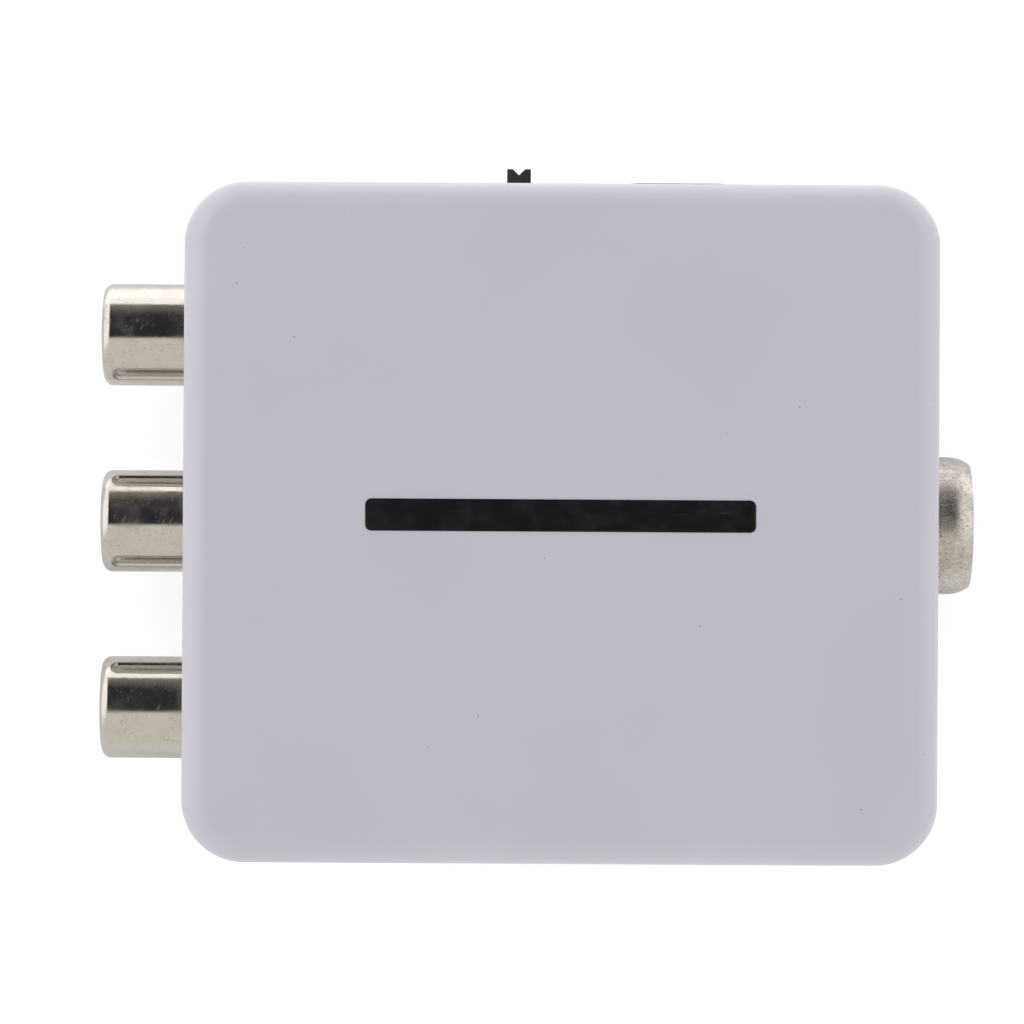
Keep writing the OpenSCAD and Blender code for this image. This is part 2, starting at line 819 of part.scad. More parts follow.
// Folded shell of the power socket, with latch windows and solder tabs
module power_socket_shell() {
    tab_x = usb_w * usb_tab_root_share;
    color(tin) at_power_socket() {
        difference() {
            rotate([90, 0, 0]) linear_extrude(usb_l) difference() {
                usb_outline(0);
                usb_outline(usb_metal_t);
            }
            for (side = [-1, 1]) {
                translate([
                    side * usb_latch_x - usb_latch_w / 2, -usb_latch_back - usb_latch_l,
                    usb_h - usb_metal_t - cut_over
                ]) cube([usb_latch_w, usb_latch_l, usb_metal_t + 2 * cut_over]);
            }
        }
        for (side = [0, 1], row = [0, 1]) {
            mirror([side, 0, 0]) translate([tab_x, -usb_l + usb_tab_inset + row * usb_tab_pitch, 0])
                cube([usb_w / 2 + usb_tab_out - tab_x, usb_tab_l, usb_metal_t]);
        }
    }
}

function usb_pin_x(k) = (k - (usb_pins - 1) / 2) * usb_pin_pitch;

// Insulator of the power socket: a block that closes the shell's rear, and the tongue in its mouth
module power_socket_tongue() {
    pin_z = usb_tongue_z - usb_pin_t;
    color(black_plastic) at_power_socket() {
        difference() {
            translate([0, -usb_l + usb_block_l, 0]) rotate([90, 0, 0])
                linear_extrude(usb_block_l) usb_outline(usb_metal_t + slip);
            translate([-usb_pins_w / 2 - slip, -usb_l - cut_over, pin_z - slip])
                cube([usb_pins_w + 2 * slip, usb_block_l + 2 * cut_over, usb_pin_t + 2 * slip]);
        }
        translate([-usb_tongue_w / 2, -usb_l + usb_block_l - slip, usb_tongue_z])
            cube([usb_tongue_w, usb_l - usb_block_l - usb_tongue_recess + slip, usb_tongue_t]);
    }
}

// Five strips under the tongue, each bent down to a foot behind the shell
module power_socket_contacts() {
    pin_z = usb_tongue_z - usb_pin_t;
    front_y = -usb_tongue_recess - usb_pin_recess;
    rear_y = -usb_l - usb_pin_out;
    color(gold) at_power_socket() for (k = [0:usb_pins - 1]) {
        translate([usb_pin_x(k) - usb_pin_w / 2, 0, 0]) {
            translate([0, rear_y, pin_z]) cube([usb_pin_w, front_y - rear_y, usb_pin_t]);
            translate([0, rear_y, 0]) cube([usb_pin_w, usb_pin_t, pin_z + usb_pin_t]);
            translate([0, rear_y - usb_foot_l, 0])
                cube([usb_pin_w, usb_foot_l + usb_pin_t, usb_pin_t]);
        }
    }
}

module at_switch() {
    translate([switch_x, switch_y, board_top]) children();
}

function switch_pin_xs() = [-pin_pitch, 0, pin_pitch];

// Folded metal frame of the slide switch, open at the back and windowed for the knob
module switch_frame() {
    window_w = knob_w + switch_travel + 2 * knob_hole_gap;
    window_h = knob_h + 2 * knob_hole_gap;
    color(tin) at_switch() {
        difference() {
            translate([-switch_l / 2, -switch_d, 0]) cube([switch_l, switch_d, switch_h]);
            translate([-switch_l / 2 + switch_metal_t, -switch_d - cut_over, switch_metal_t]) cube([
                switch_l - 2 * switch_metal_t,
                switch_d - switch_metal_t + cut_over,
                switch_h - 2 * switch_metal_t
            ]);
            translate([-window_w / 2, -switch_metal_t - hole_gap, knob_z - window_h / 2])
                cube([window_w, switch_metal_t + cut_over, window_h]);
        }
        for (side = [0, 1]) {
            mirror([side, 0, 0])
                translate([switch_l / 2 - switch_metal_t, -switch_d / 2 - switch_leg_w / 2, -leg_l])
                    cube([switch_metal_t, switch_leg_w, leg_l + switch_metal_t]);
        }
    }
}

module switch_base() {
    base_l = switch_l - 2 * switch_metal_t - 2 * slip;
    base_h = switch_h - 2 * switch_metal_t - 2 * slip;
    color("sienna") at_switch() difference() {
        translate([-base_l / 2, -switch_d, knob_z - base_h / 2]) cube([base_l, switch_base_t, base_h]);
        for (x = switch_pin_xs()) {
            translate([x - pin_w / 2 - slip, -switch_d - cut_over, knob_z - pin_w / 2 - slip])
                cube([pin_w + 2 * slip, switch_base_t + 2 * cut_over, pin_w + 2 * slip]);
        }
    }
}

// Three terminals: a pad inside, a pin through the base, and a leg down through the board
module switch_terminals() {
    pad_y = -switch_d + switch_base_t;
    rear_y = -switch_d - pin_out;
    color(gold) at_switch() for (x = switch_pin_xs()) {
        translate([x, 0, 0]) {
            translate([-pad_w / 2, pad_y, knob_z - pad_h / 2]) cube([pad_w, pad_t, pad_h]);
            translate([-pin_w / 2, rear_y, knob_z - pin_w / 2])
                cube([pin_w, pad_y - rear_y + pad_t / 2, pin_w]);
            translate([-pin_w / 2, rear_y, -leg_l]) cube([pin_w, pin_w, leg_l + knob_z]);
        }
    }
}

// Knob and slider in one moulding, drawn in the rest position, with a V in the knob's tip
module switch_knob() {
    color(black_plastic) at_switch() translate([knob_rest_x, 0, knob_z]) {
        translate([-slider_l / 2, slider_y - slider_t, -slider_h / 2])
            cube([slider_l, slider_t, slider_h]);
        translate([0, 0, -knob_h / 2]) linear_extrude(knob_h) polygon([
            [-knob_w / 2, slider_y - slip],
            [knob_w / 2, slider_y - slip],
            [knob_w / 2, knob_l],
            [notch_w / 2, knob_l],
            [0, knob_l - notch_d],
            [-notch_w / 2, knob_l],
            [-knob_w / 2, knob_l]
        ]);
    }
}

// Contact strip on the back of the slider, with two bumps that face the pads
module switch_wiper() {
    color(gold) at_switch() translate([knob_rest_x, slider_y - slider_t, knob_z]) {
        translate([-wiper_l / 2, -wiper_strip_t, -wiper_w / 2])
            cube([wiper_l, wiper_strip_t, wiper_w]);
        for (side = [-1, 1]) {
            intersection() {
                translate([side * pin_pitch / 2, -wiper_strip_t + slip, -wiper_w / 2])
                    cylinder(h = wiper_w, r = wiper_bump_r);
                translate([-wiper_l / 2, -wiper_strip_t - wiper_bump_r, -wiper_w / 2])
                    cube([wiper_l, wiper_strip_t + wiper_bump_r, wiper_w]);
            }
        }
    }
}

// Fence of the screening can, with an arch in each side for the tracks
module shield_fence() {
    in_l = shield_l - 2 * shield_metal_t;
    in_w = shield_w - 2 * shield_metal_t;
    color(tin) translate([shield_x, 0, board_top]) difference() {
        translate([-shield_l / 2, -shield_w / 2, 0]) cube([shield_l, shield_w, shield_h]);
        translate([-in_l / 2, -in_w / 2, -cut_over]) cube([in_l, in_w, shield_h + 2 * cut_over]);
        translate([-shield_l / 2 - cut_over, -shield_arch_w / 2, -cut_over])
            cube([shield_l + 2 * cut_over, shield_arch_w, shield_arch_h + cut_over]);
        translate([-shield_arch_w / 2, -shield_w / 2 - cut_over, -cut_over])
            cube([shield_arch_w, shield_w + 2 * cut_over, shield_arch_h + cut_over]);
    }
}

// Lid of the screening can, pierced with vent holes, with a skirt round the fence
module shield_lid() {
    lid_l = shield_l + 2 * (slip + shield_lid_t);
    lid_w = shield_w + 2 * (slip + shield_lid_t);
    middle = (shield_hole_rows - 1) / 2;
    color(tin) translate([shield_x, 0, board_top + shield_h]) difference() {
        translate([-lid_l / 2, -lid_w / 2, -shield_skirt]) cube([lid_l, lid_w, shield_skirt + shield_lid_t]);
        translate([-shield_l / 2 - slip, -shield_w / 2 - slip, -shield_skirt - cut_over])
            cube([shield_l + 2 * slip, shield_w + 2 * slip, shield_skirt + cut_over]);
        for (i = [0:shield_hole_rows - 1], j = [0:shield_hole_rows - 1]) {
            translate([(i - middle) * shield_hole_pitch, (j - middle) * shield_hole_pitch, -cut_over])
                cylinder(h = shield_lid_t + 2 * cut_over, r = shield_hole_r);
        }
    }
}

module modulator_chip() {
    color(black_plastic) translate([chip_x, chip_y, board_top + chip_lift]) difference() {
        translate([-chip_w / 2, -chip_l / 2, 0]) cube([chip_w, chip_l, chip_t]);
        translate([-chip_w / 2 + chip_dot_inset, chip_l / 2 - chip_dot_inset, chip_t - chip_dot_sink])
            cylinder(h = chip_dot_sink + cut_over, r = chip_dot_r);
    }
}

// One stepped lead: out from height z, down, and along the board, reaching out by l with a foot f long
module stepped_lead(l, f, z, w, t) {
    translate([0, w / 2, 0]) rotate([90, 0, 0]) linear_extrude(w) polygon([
        [0, z], [0, z + t], [l - f + t, z + t], [l - f + t, t], [l, t], [l, 0], [l - f, 0], [l - f, z]
    ]);
}

module modulator_chip_leads() {
    lead_z = chip_lift + chip_t / 2 - chip_pin_t / 2;
    color(tin) translate([chip_x, chip_y, board_top]) for (side = [0, 1], k = [0:chip_pins - 1]) {
        mirror([side, 0, 0]) translate([chip_w / 2, (k - (chip_pins - 1) / 2) * chip_pin_pitch, 0])
            stepped_lead(chip_pin_out, chip_pin_foot, lead_z, chip_pin_w, chip_pin_t);
    }
}

module regulator_body() {
    color(black_plastic) translate([reg_x - reg_w / 2, reg_y - reg_l / 2, board_top])
        cube([reg_w, reg_l, reg_t]);
}

module regulator_leads() {
    lead_z = reg_t / 2 - reg_lead_t / 2;
    foot = reg_lead_out / 2;
    color(tin) translate([reg_x, reg_y, board_top]) {
        translate([reg_w / 2, 0, 0]) stepped_lead(reg_lead_out, foot, lead_z, reg_tab_w, reg_lead_t);
        mirror([1, 0, 0]) for (k = [-1:1]) {
            translate([reg_w / 2, k * reg_lead_pitch, 0])
                stepped_lead(reg_lead_out, foot, lead_z, reg_lead_w, reg_lead_t);
        }
    }
}

// Flat-sided can with round ends and a rounded top edge
module crystal_can() {
    can_l = crystal_l - 2 * crystal_rim;
    can_w = crystal_w - 2 * crystal_rim;
    color(tin) translate([crystal_x, crystal_y, board_top + crystal_base_t])
        case_block(can_l, can_w, crystal_h, can_w / 2 - slip, crystal_edge_r);
}

module crystal_base() {
    color(tin) translate([crystal_x, crystal_y, board_top])
        rounded_plate(crystal_l, crystal_w, crystal_base_t, crystal_w / 2 - slip);
}

module capacitor_cans() {
    color(tin) for (y = can_ys) {
        translate([can_x, y, board_top + can_base_t]) rotate_extrude() edge_profile(can_r, can_edge_r, can_h);
    }
}

// Square bases of the capacitors, with two corners cut to mark one side
module capacitor_bases() {
    half = can_base_w / 2;
    color(black_plastic) for (y = can_ys) {
        translate([can_x, y, board_top]) linear_extrude(can_base_t) polygon([
            [-half, -half], [half - can_base_cut, -half], [half, -half + can_base_cut],
            [half, half - can_base_cut], [half - can_base_cut, half], [-half, half]
        ]);
    }
}

module chip_part_row(y, count, t) {
    for (k = [0:count - 1]) {
        translate([
            part_row_x + (k - (count - 1) / 2) * part_pitch - chip_part_w / 2,
            y - chip_part_l / 2,
            board_top
        ]) cube([chip_part_w, chip_part_l, t]);
    }
}

module chip_resistors() {
    color(black_plastic) chip_part_row(resistor_row_y, resistor_count, resistor_t);
}

module chip_capacitors() {
    color("tan") chip_part_row(capacitor_row_y, capacitor_count, capacitor_t);
}

top_shell();
bottom_shell();
printed_stripe();
circuit_board();
jack_block();
jack_barrel_yellow();
jack_barrel_white();
jack_barrel_red();
jack_insert_yellow();
jack_insert_white();
jack_insert_red();
jack_contact_yellow();
jack_contact_white();
jack_contact_red();
aerial_socket_body();
aerial_socket_insulator();
aerial_socket_contact();
power_socket_shell();
power_socket_tongue();
power_socket_contacts();
switch_frame();
switch_base();
switch_terminals();
switch_knob();
switch_wiper();
shield_fence();
shield_lid();
modulator_chip();
modulator_chip_leads();
regulator_body();
regulator_leads();
crystal_can();
crystal_base();
capacitor_cans();
capacitor_bases();
chip_resistors();
chip_capacitors();
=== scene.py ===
"""Dresses a small radio-frequency modulator: a pale moulded case with three phono jacks at one
end, an aerial socket at the other, and a power socket and a channel switch at the back.

Sizes in the classes are in millimetres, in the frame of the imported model. Meshes are in metres.
"""

import logging
import math
from collections.abc import Callable, Iterable, Sequence
from dataclasses import dataclass
from enum import Enum
from functools import partial

import bmesh
import bpy
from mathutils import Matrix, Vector


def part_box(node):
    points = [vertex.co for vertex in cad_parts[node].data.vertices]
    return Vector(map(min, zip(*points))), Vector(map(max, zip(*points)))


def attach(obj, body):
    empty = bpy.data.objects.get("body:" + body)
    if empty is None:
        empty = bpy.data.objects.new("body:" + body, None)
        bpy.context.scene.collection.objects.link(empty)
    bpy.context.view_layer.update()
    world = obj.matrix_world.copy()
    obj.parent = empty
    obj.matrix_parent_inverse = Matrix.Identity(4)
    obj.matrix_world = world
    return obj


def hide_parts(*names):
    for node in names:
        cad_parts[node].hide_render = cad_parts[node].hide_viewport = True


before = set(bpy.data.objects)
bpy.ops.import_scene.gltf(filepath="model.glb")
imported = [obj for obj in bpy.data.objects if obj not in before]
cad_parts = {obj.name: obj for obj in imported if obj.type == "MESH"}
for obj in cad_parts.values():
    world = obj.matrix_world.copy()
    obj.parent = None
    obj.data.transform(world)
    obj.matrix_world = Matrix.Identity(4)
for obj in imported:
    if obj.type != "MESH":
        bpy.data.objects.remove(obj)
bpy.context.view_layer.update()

MM = 0.001
LOG = logging.getLogger("rf_modulator")
# How close two points are to be one, in a new mesh and in a copied one
SEAM = 1e-4 * MM
WELD = 1e-3 * MM
# Turns between faces: below the first they are one face, and above the second their edge is eased
FLAT_TURN = math.radians(0.4)
SHARP_TURN = math.radians(40)
# The most of a side that one corner's curve takes, the least that a corner's inset is divided by,
# and how far into an edge's rounding its middle row lies
NEARLY_HALF = 0.49
SHARPEST = 0.4
SOFT_SHARE = 0.3
SIDES = (-1, 1)
QUARTERS = ((1, 1), (-1, 1), (-1, -1), (1, -1))

Point2 = tuple[float, float]
Point3 = tuple[float, float, float]
Colour = tuple[float, float, float, float]
Piece = bpy.types.Object
Feed = bpy.types.Node | bpy.types.NodeSocket | float | Sequence[float]
Kind = str | tuple[str, dict[str, str | float]]
Adder = Callable[..., bpy.types.Node]
Press = Callable[[float, float, float], float]
Place = Callable[[float, float, float], Point3]


def linear(code: str, share: float = 1.0) -> Colour:
    """Turns an sRGB hex colour into Blender's linear colour.

    Args:
        code: six hex digits, such as "BEBAC3".
        share: how much of its brightness stays.

    Returns:
        Red, green, blue and a full alpha.
    """
    tones = [int(code[k:k + 2], 16) / 255 for k in (0, 2, 4)]
    tones = [t / 12.92 if t <= 0.04045 else ((t + 0.055) / 1.055) ** 2.4 for t in tones]
    return (*(t * share for t in tones), 1.0)


def add_node(tree: bpy.types.NodeTree, kind: Kind, *feeds: Feed, **named: Feed) -> bpy.types.Node:
    """Adds a node to a tree, with its settings and links.

    Args:
        tree: the tree that gets the node.
        kind: Blender's name for the type of node, alone or with the node's settings.
        feeds: what feeds the inputs in use, in their order: a node, whose first output counts, a
            socket or a plain value.
        named: the same, for the inputs of these names.

    Returns:
        The new node.
    """
    name, settings = (kind, {}) if isinstance(kind, str) else kind
    node = tree.nodes.new(name)
    for key, value in settings.items():
        setattr(node, key, value)
    wanted = list(zip([socket for socket in node.inputs if socket.enabled], feeds))
    wanted += [(node.inputs[key], value) for key, value in named.items()]
    for socket, value in wanted:
        if isinstance(value, bpy.types.Node):
            value = next(output for output in value.outputs if output.enabled)
        if isinstance(value, bpy.types.NodeSocket):
            tree.links.new(value, socket)
        else:
            socket.default_value = value
    return node


def emptied(owner: bpy.types.Material | bpy.types.World) -> Adder:
    """Empties the node tree of a material or a world.

    Args:
        owner: the material or the world.

    Returns:
        What adds nodes to the tree.
    """
    owner.use_nodes = True
    owner.node_tree.nodes.clear()
    return partial(add_node, owner.node_tree)


def per(size: float) -> float:
    """Scale of a texture whose features are to be size millimetres across."""
    return 1 / (size * MM)


class Axis(Enum):
    """Direction in the frame that a turned piece's axis runs along."""

    PLUS_X = "x"
    PLUS_Z = "z"

    def place(self, radius: float, angle: float, along: float, centre: Point3) -> Point3:
        """Turns a radius, an angle and a distance along the axis into a point.

        Args:
            radius: distance from the axis.
            angle: turn about the axis; zero points to +Y for PLUS_X and to +X for PLUS_Z.
            along: distance along the axis from the centre.
            centre: the point on the axis where along is zero.

        Returns:
            The point in the frame.
        """
        a, b = radius * math.cos(angle), radius * math.sin(angle)
        if self is Axis.PLUS_X:
            return centre[0] + along, centre[1] + a, centre[2] + b
        return centre[0] + a, centre[1] + b, centre[2] + along


class Join(Enum):
    """What a tool does to the piece that it meets."""

    ADD = "UNION"
    CUT = "DIFFERENCE"


class Body(Enum):
    """The two bodies of the frame."""

    HOUSING = "housing"
    SWITCH = "channel_switch"


def eased(points: Sequence[Point2], ease: float | Sequence[float], steps: int = 3,
          closed: bool = False) -> list[Point2]:
    """Rounds the corners of a line of points.

    Args:
        points: the corners.
        ease: how far before and after a corner its curve starts, for all corners or for each.
        steps: straight pieces in each rounded corner.
        closed: whether the last point joins the first.

    Returns:
        The points of the softened line.
    """
    eases = [ease] * len(points) if isinstance(ease, (int, float)) else list(ease)
    out: list[Point2] = []
    for k, point in enumerate(points):
        if eases[k] == 0 or (not closed and k in (0, len(points) - 1)):
            out.append(tuple(point))
            continue
        here = Vector(point)
        before = Vector(points[k - 1]) - here
        after = Vector(points[(k + 1) % len(points)]) - here
        start = here + before.normalized() * min(eases[k], before.length * NEARLY_HALF)
        end = here + after.normalized() * min(eases[k], after.length * NEARLY_HALF)
        for n in range(steps + 1):
            t = n / steps
            out.append(tuple(start * (1 - t) ** 2 + here * 2 * t * (1 - t) + end * t ** 2))
    return out


def arc(centre: Point2, radius: float, start: float, end: float, steps: int) -> list[Point2]:
    """Points along an arc, both ends included.

    Args:
        centre: centre of the arc.
        radius: its radius.
        start: first angle, in degrees.
        end: last angle, in degrees.
        steps: straight pieces in the arc.

    Returns:
        The points in order.
    """
    turns = [math.radians(start + (end - start) * k / steps) for k in range(steps + 1)]
    return [(centre[0] + radius * math.cos(a), centre[1] + radius * math.sin(a)) for a in turns]


def rounded_outline(half_x: float, half_y: float, radius: float, steps: int) -> list[Point2]:
    """Outline of a rectangle with round corners about the origin, anticlockwise.

    Args:
        half_x: half the length.
        half_y: half the width.
        radius: radius of the corners.
        steps: straight pieces in each corner.

    Returns:
        The points of the outline.
    """
    points: list[Point2] = []
    for quarter, (sx, sy) in enumerate(QUARTERS):
        centre = (sx * (half_x - radius), sy * (half_y - radius))
        points += arc(centre, radius, 90 * quarter, 90 * quarter + 90, steps)
    return points


def inset_outline(outline: Sequence[Point2], inset: float) -> list[Point2]:
    """Moves each point of a closed anticlockwise outline inwards along its own corner.

    Args:
        outline: the points.
        inset: distance to move each side in.

    Returns:
        As many points.
    """
    if inset == 0:
        return list(outline)
    moved = []
    for k, point in enumerate(outline):
        before = (Vector(point) - Vector(outline[k - 1])).normalized()
        after = (Vector(outline[(k + 1) % len(outline)]) - Vector(point)).normalized()
        normal = Vector((-before.y - after.y, before.x + after.x))
        length = normal.length
        reach = inset / max(length / 2, SHARPEST)
        moved.append((point[0] + normal.x / length * reach, point[1] + normal.y / length * reach))
    return moved


def placed(name: str, data: bpy.types.ID) -> Piece:
    """Makes an object and links it to the scene.

    Args:
        name: the object's name.
        data: its mesh, camera or lamp.

    Returns:
        The object.
    """
    made = bpy.data.objects.new(name, data)
    bpy.context.scene.collection.objects.link(made)
    return made


def meshed(name: str, verts: Iterable[Point3], faces: Iterable[Sequence[int]]) -> Piece:
    """Makes an object in metres, with closed seams and outward faces.

    Args:
        name: the object's name.
        verts: its points, in millimetres.
        faces: the numbers of each face's points.

    Returns:
        The object.
    """
    mesh = bpy.data.meshes.new(name)
    mesh.from_pydata([tuple(c * MM for c in v) for v in verts], [], faces)
    shape = bmesh.new()
    shape.from_mesh(mesh)
    bmesh.ops.remove_doubles(shape, verts=shape.verts, dist=SEAM)
    bmesh.ops.dissolve_degenerate(shape, edges=shape.edges, dist=SEAM)
    bmesh.ops.recalc_face_normals(shape, faces=shape.faces)
    shape.to_mesh(mesh)
    shape.free()
    return placed(name, mesh)


def skinned(name: str, rows: Iterable[Iterable[Point3]], ring: bool = False,
            tips: Sequence[Point3] = ()) -> Piece:
    """Joins loops of points, each to the next, into one closed skin.

    Args:
        name: the object's name.
        rows: loops of as many points each.
        ring: whether the last loop joins the first; otherwise both ends are closed.
        tips: the points that the two ends run to; without them the ends are flat.

    Returns:
        The object.
    """
    verts: list[Point3] = []
    loops: list[range] = []
    for row in rows:
        start = len(verts)
        verts += row
        loops.append(range(start, len(verts)))
    faces: list[tuple[int, ...]] = []
    for low, high in zip(loops, loops[1:] + loops[:int(ring)]):
        for k in range(len(low)):
            n = (k + 1) % len(low)
            faces.append((low[k], low[n], high[n], high[k]))
    ends = [] if ring else [loops[0], loops[-1]]
    for end, tip in zip(ends, tips):
        faces += [(end[k], end[(k + 1) % len(end)], len(verts)) for k in range(len(end))]
        verts.append(tip)
    if not tips:
        faces += [tuple(end) for end in ends]
    return meshed(name, verts, faces)


def turned(name: str, section: Sequence[Point2], centre: Point3, axis: Axis, segments: int = 96,
           press: Press | None = None) -> Piece:
    """Turns a section round an axis.

    Args:
        name: the object's name.
        section: points as radius and distance along the axis. A section that starts and ends
            on the axis is a solid; any other section is closed on itself as a ring.
        centre: the point on the axis where the distance is zero.
        axis: direction of the axis.
        segments: faces round the piece.
        press: how far a point moves towards the axis, from its radius, angle and distance.

    Returns:
        The turned piece.
    """
    solid = section[0][0] == 0 and section[-1][0] == 0
    angles = [2 * math.pi * k / segments for k in range(segments)]
    rows = [[axis.place(r - (press(r, a, d) if press else 0), a, d, centre) for a in angles]
            for r, d in (section[1:-1] if solid else section)]
    tips = [axis.place(0, 0, section[k][1], centre) for k in (0, -1)] if solid else ()
    return skinned(name, rows, not solid, tips)


def prism(name: str, outline: Sequence[Point2], levels: Sequence[Point2], place: Place) -> Piece:
    """Stacks an outline at several levels into a closed solid.

    Args:
        name: the object's name.
        outline: points of the outline, about its own middle.
        levels: for each level, its height and the outline's inset there.
        place: turns outline coordinates and a height into a point in the frame.

    Returns:
        The solid.
    """
    return skinned(name, [[place(u, v, height) for u, v in inset_outline(outline, inset)]
                          for height, inset in levels])


def soft_ends(half: float, soft: float) -> list[Point2]:
    """Levels of a prism from -half to half, with its ends rounded over the distance soft."""
    low = [(-half, soft), (-half + soft * SOFT_SHARE, soft * SOFT_SHARE), (-half + soft, 0.0)]
    return low + [(-height, inset) for height, inset in reversed(low)]


def block(name: str, low: Point3, high: Point3, ease: float = 0.0) -> Piece:
    """A box with eased edges.

    Args:
        name: the object's name.
        low: its lowest corner.
        high: its highest corner.
        ease: size of the rounding along its edges.

    Returns:
        The box.
    """
    half = [(high[k] - low[k]) / 2 for k in range(3)]
    middle = [(high[k] + low[k]) / 2 for k in range(3)]
    outline = eased([(sx * half[0], sy * half[1]) for sx, sy in QUARTERS], ease, steps=2,
                    closed=True)
    levels = soft_ends(half[2], ease) if ease else [(-half[2], 0.0), (half[2], 0.0)]
    return prism(name, outline, levels,
                 lambda u, v, h: (middle[0] + u, middle[1] + v, middle[2] + h))


def baked(piece: Piece) -> Piece:
    """Turns a piece's modifiers into its plain mesh.

    Args:
        piece: an object with modifiers.

    Returns:
        The same object, without modifiers.
    """
    graph = bpy.context.evaluated_depsgraph_get()
    mesh = bpy.data.meshes.new_from_object(
        piece.evaluated_get(graph), preserve_all_data_layers=True, depsgraph=graph
    )
    mesh.name = piece.name
    piece.modifiers.clear()
    piece.data = mesh
    return piece


def combined(piece: Piece, tools: Sequence[Piece], how: Join) -> None:
    """Adds tools to a piece or cuts them out of it, and deletes them.

    Args:
        piece: the piece that stays.
        tools: closed solids.
        how: whether they are added or cut out.
    """
    for tool in tools:
        step = piece.modifiers.new("shape", "BOOLEAN")
        step.operation = how.value
        step.solver = "EXACT"
        step.object = tool
    baked(piece)
    for tool in tools:
        bpy.data.objects.remove(tool)


def smoothed(piece: Piece, angle: float = 35) -> Piece:
    """Shades a piece smoothly, with sharp edges past an angle and flat faces kept flat.

    Args:
        piece: the piece.
        angle: the sharpest turn between faces that still shades smoothly, in degrees.

    Returns:
        The same piece.
    """
    shape = bmesh.new()
    shape.from_mesh(piece.data)
    many = [face for face in shape.faces if len(face.verts) > 4]
    bmesh.ops.triangulate(shape, faces=many, ngon_method="EAR_CLIP")
    for edge in shape.edges:
        edge.smooth = edge.calc_face_angle(0) < math.radians(angle)
    for face in shape.faces:
        face.smooth = True
    shape.to_mesh(piece.data)
    shape.free()
    piece.modifiers.new("normals", "WEIGHTED_NORMAL").keep_sharp = True
    return baked(piece)


def span(node: str) -> tuple[Vector, Vector]:
    """Lowest and highest corner of a node of the frame, in millimetres."""
    low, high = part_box(node)
    return low / MM, high / MM


# What feeds a fade: a value, where the fade starts and ends, and what it gives there. What feeds a
# mix: a share and two colours.
FADE: Kind = ("ShaderNodeMapRange", {"interpolation_type": "SMOOTHSTEP"})
MIX: Kind = ("ShaderNodeMix", {"data_type": "RGBA"})
NOISE, BUMP, WHERE, RAYS, SPLIT, JOINED = (
    f"ShaderNode{name}" for name in
    ("TexNoise", "Bump", "TexCoord", "LightPath", "SeparateXYZ", "CombineXYZ")
)
PLUS, MINUS, TIMES, TIMES_PLUS, LARGER, ABOVE, ROLL = (
    ("ShaderNodeMath", {"operation": name}) for name in
    ("ADD", "SUBTRACT", "MULTIPLY", "MULTIPLY_ADD", "MAXIMUM", "GREATER_THAN", "ARCTAN2")
)
STRETCHED, REACH, ALONG = (
    ("ShaderNodeVectorMath", {"operation": name}) for name in ("SCALE", "LENGTH", "DOT_PRODUCT")
)


@dataclass(frozen=True)
class Finish:
    """What every finish has: its name, the name of a slot that it stands for, which nothing here
    reads, and its colour.
    """

    name: str
    slot: str
    colour: str

    def build(self) -> bpy.types.Material:
        """Makes the material, or finds the one that was made before.

        Returns:
            The material.
        """
        made = bpy.data.materials.get(self.name)
        if not made:
            made = bpy.data.materials.new(self.name)
            add = emptied(made)
            surface = self.surface(add, add(WHERE).outputs["Object"])
            add("ShaderNodeOutputMaterial", add("ShaderNodeBsdfPrincipled", **surface))
        return made

    def surface(self, add: Adder, place: bpy.types.NodeSocket) -> dict[str, Feed]:
        """Draws the patterns of the surface; each finish has its own.

        Args:
            add: adds a node to the material.
            place: the object coordinates, in metres.

        Returns:
            What each input of the shader gets.
        """
        raise NotImplementedError


def hairlines(add: Adder, place: bpy.types.NodeSocket, turn: float, width: float, length: float,
              above: float, edge: float = 0.05) -> bpy.types.Node:
    """Draws fine straight scratches that all lie one way.

    Args:
        add: adds a node to the material.
        place: coordinates in metres.
        turn: the way they lie, in degrees about Z from X.
        width: width of a scratch in millimetres.
        length: its length in millimetres.
        above: height in the pattern above which a scratch shows; a higher one leaves fewer.
        edge: how much higher the pattern is where the scratch is at its full strength.

    Returns:
        A mask that is 1 in a scratch.
    """
    lying = add(("ShaderNodeMapping", {"vector_type": "TEXTURE"}), Vector=place,
                Rotation=(0, 0, math.radians(turn)), Scale=(length / width, 1, 1))
    return add(FADE, add(NOISE, lying, per(width), Detail=1.0), above, above + edge)


def specks(add: Adder, place: bpy.types.NodeSocket, apart: float, size: float,
           empty: float) -> bpy.types.Node:
    """Scatters small round specks.

    Args:
        add: adds a node to the material.
        place: coordinates in metres.
        apart: distance between the places where a speck can be, in millimetres.
        size: radius of a speck in millimetres.
        empty: how many of those places stay empty, from 0 to 1.

    Returns:
        A mask that is 1 in a speck.
    """
    cells = add("ShaderNodeTexVoronoi", Vector=place, Scale=per(apart))
    near = add(FADE, cells, size / apart, 0.5 * size / apart)
    return add(TIMES, near, add(ABOVE, cells.outputs["Color"], empty))


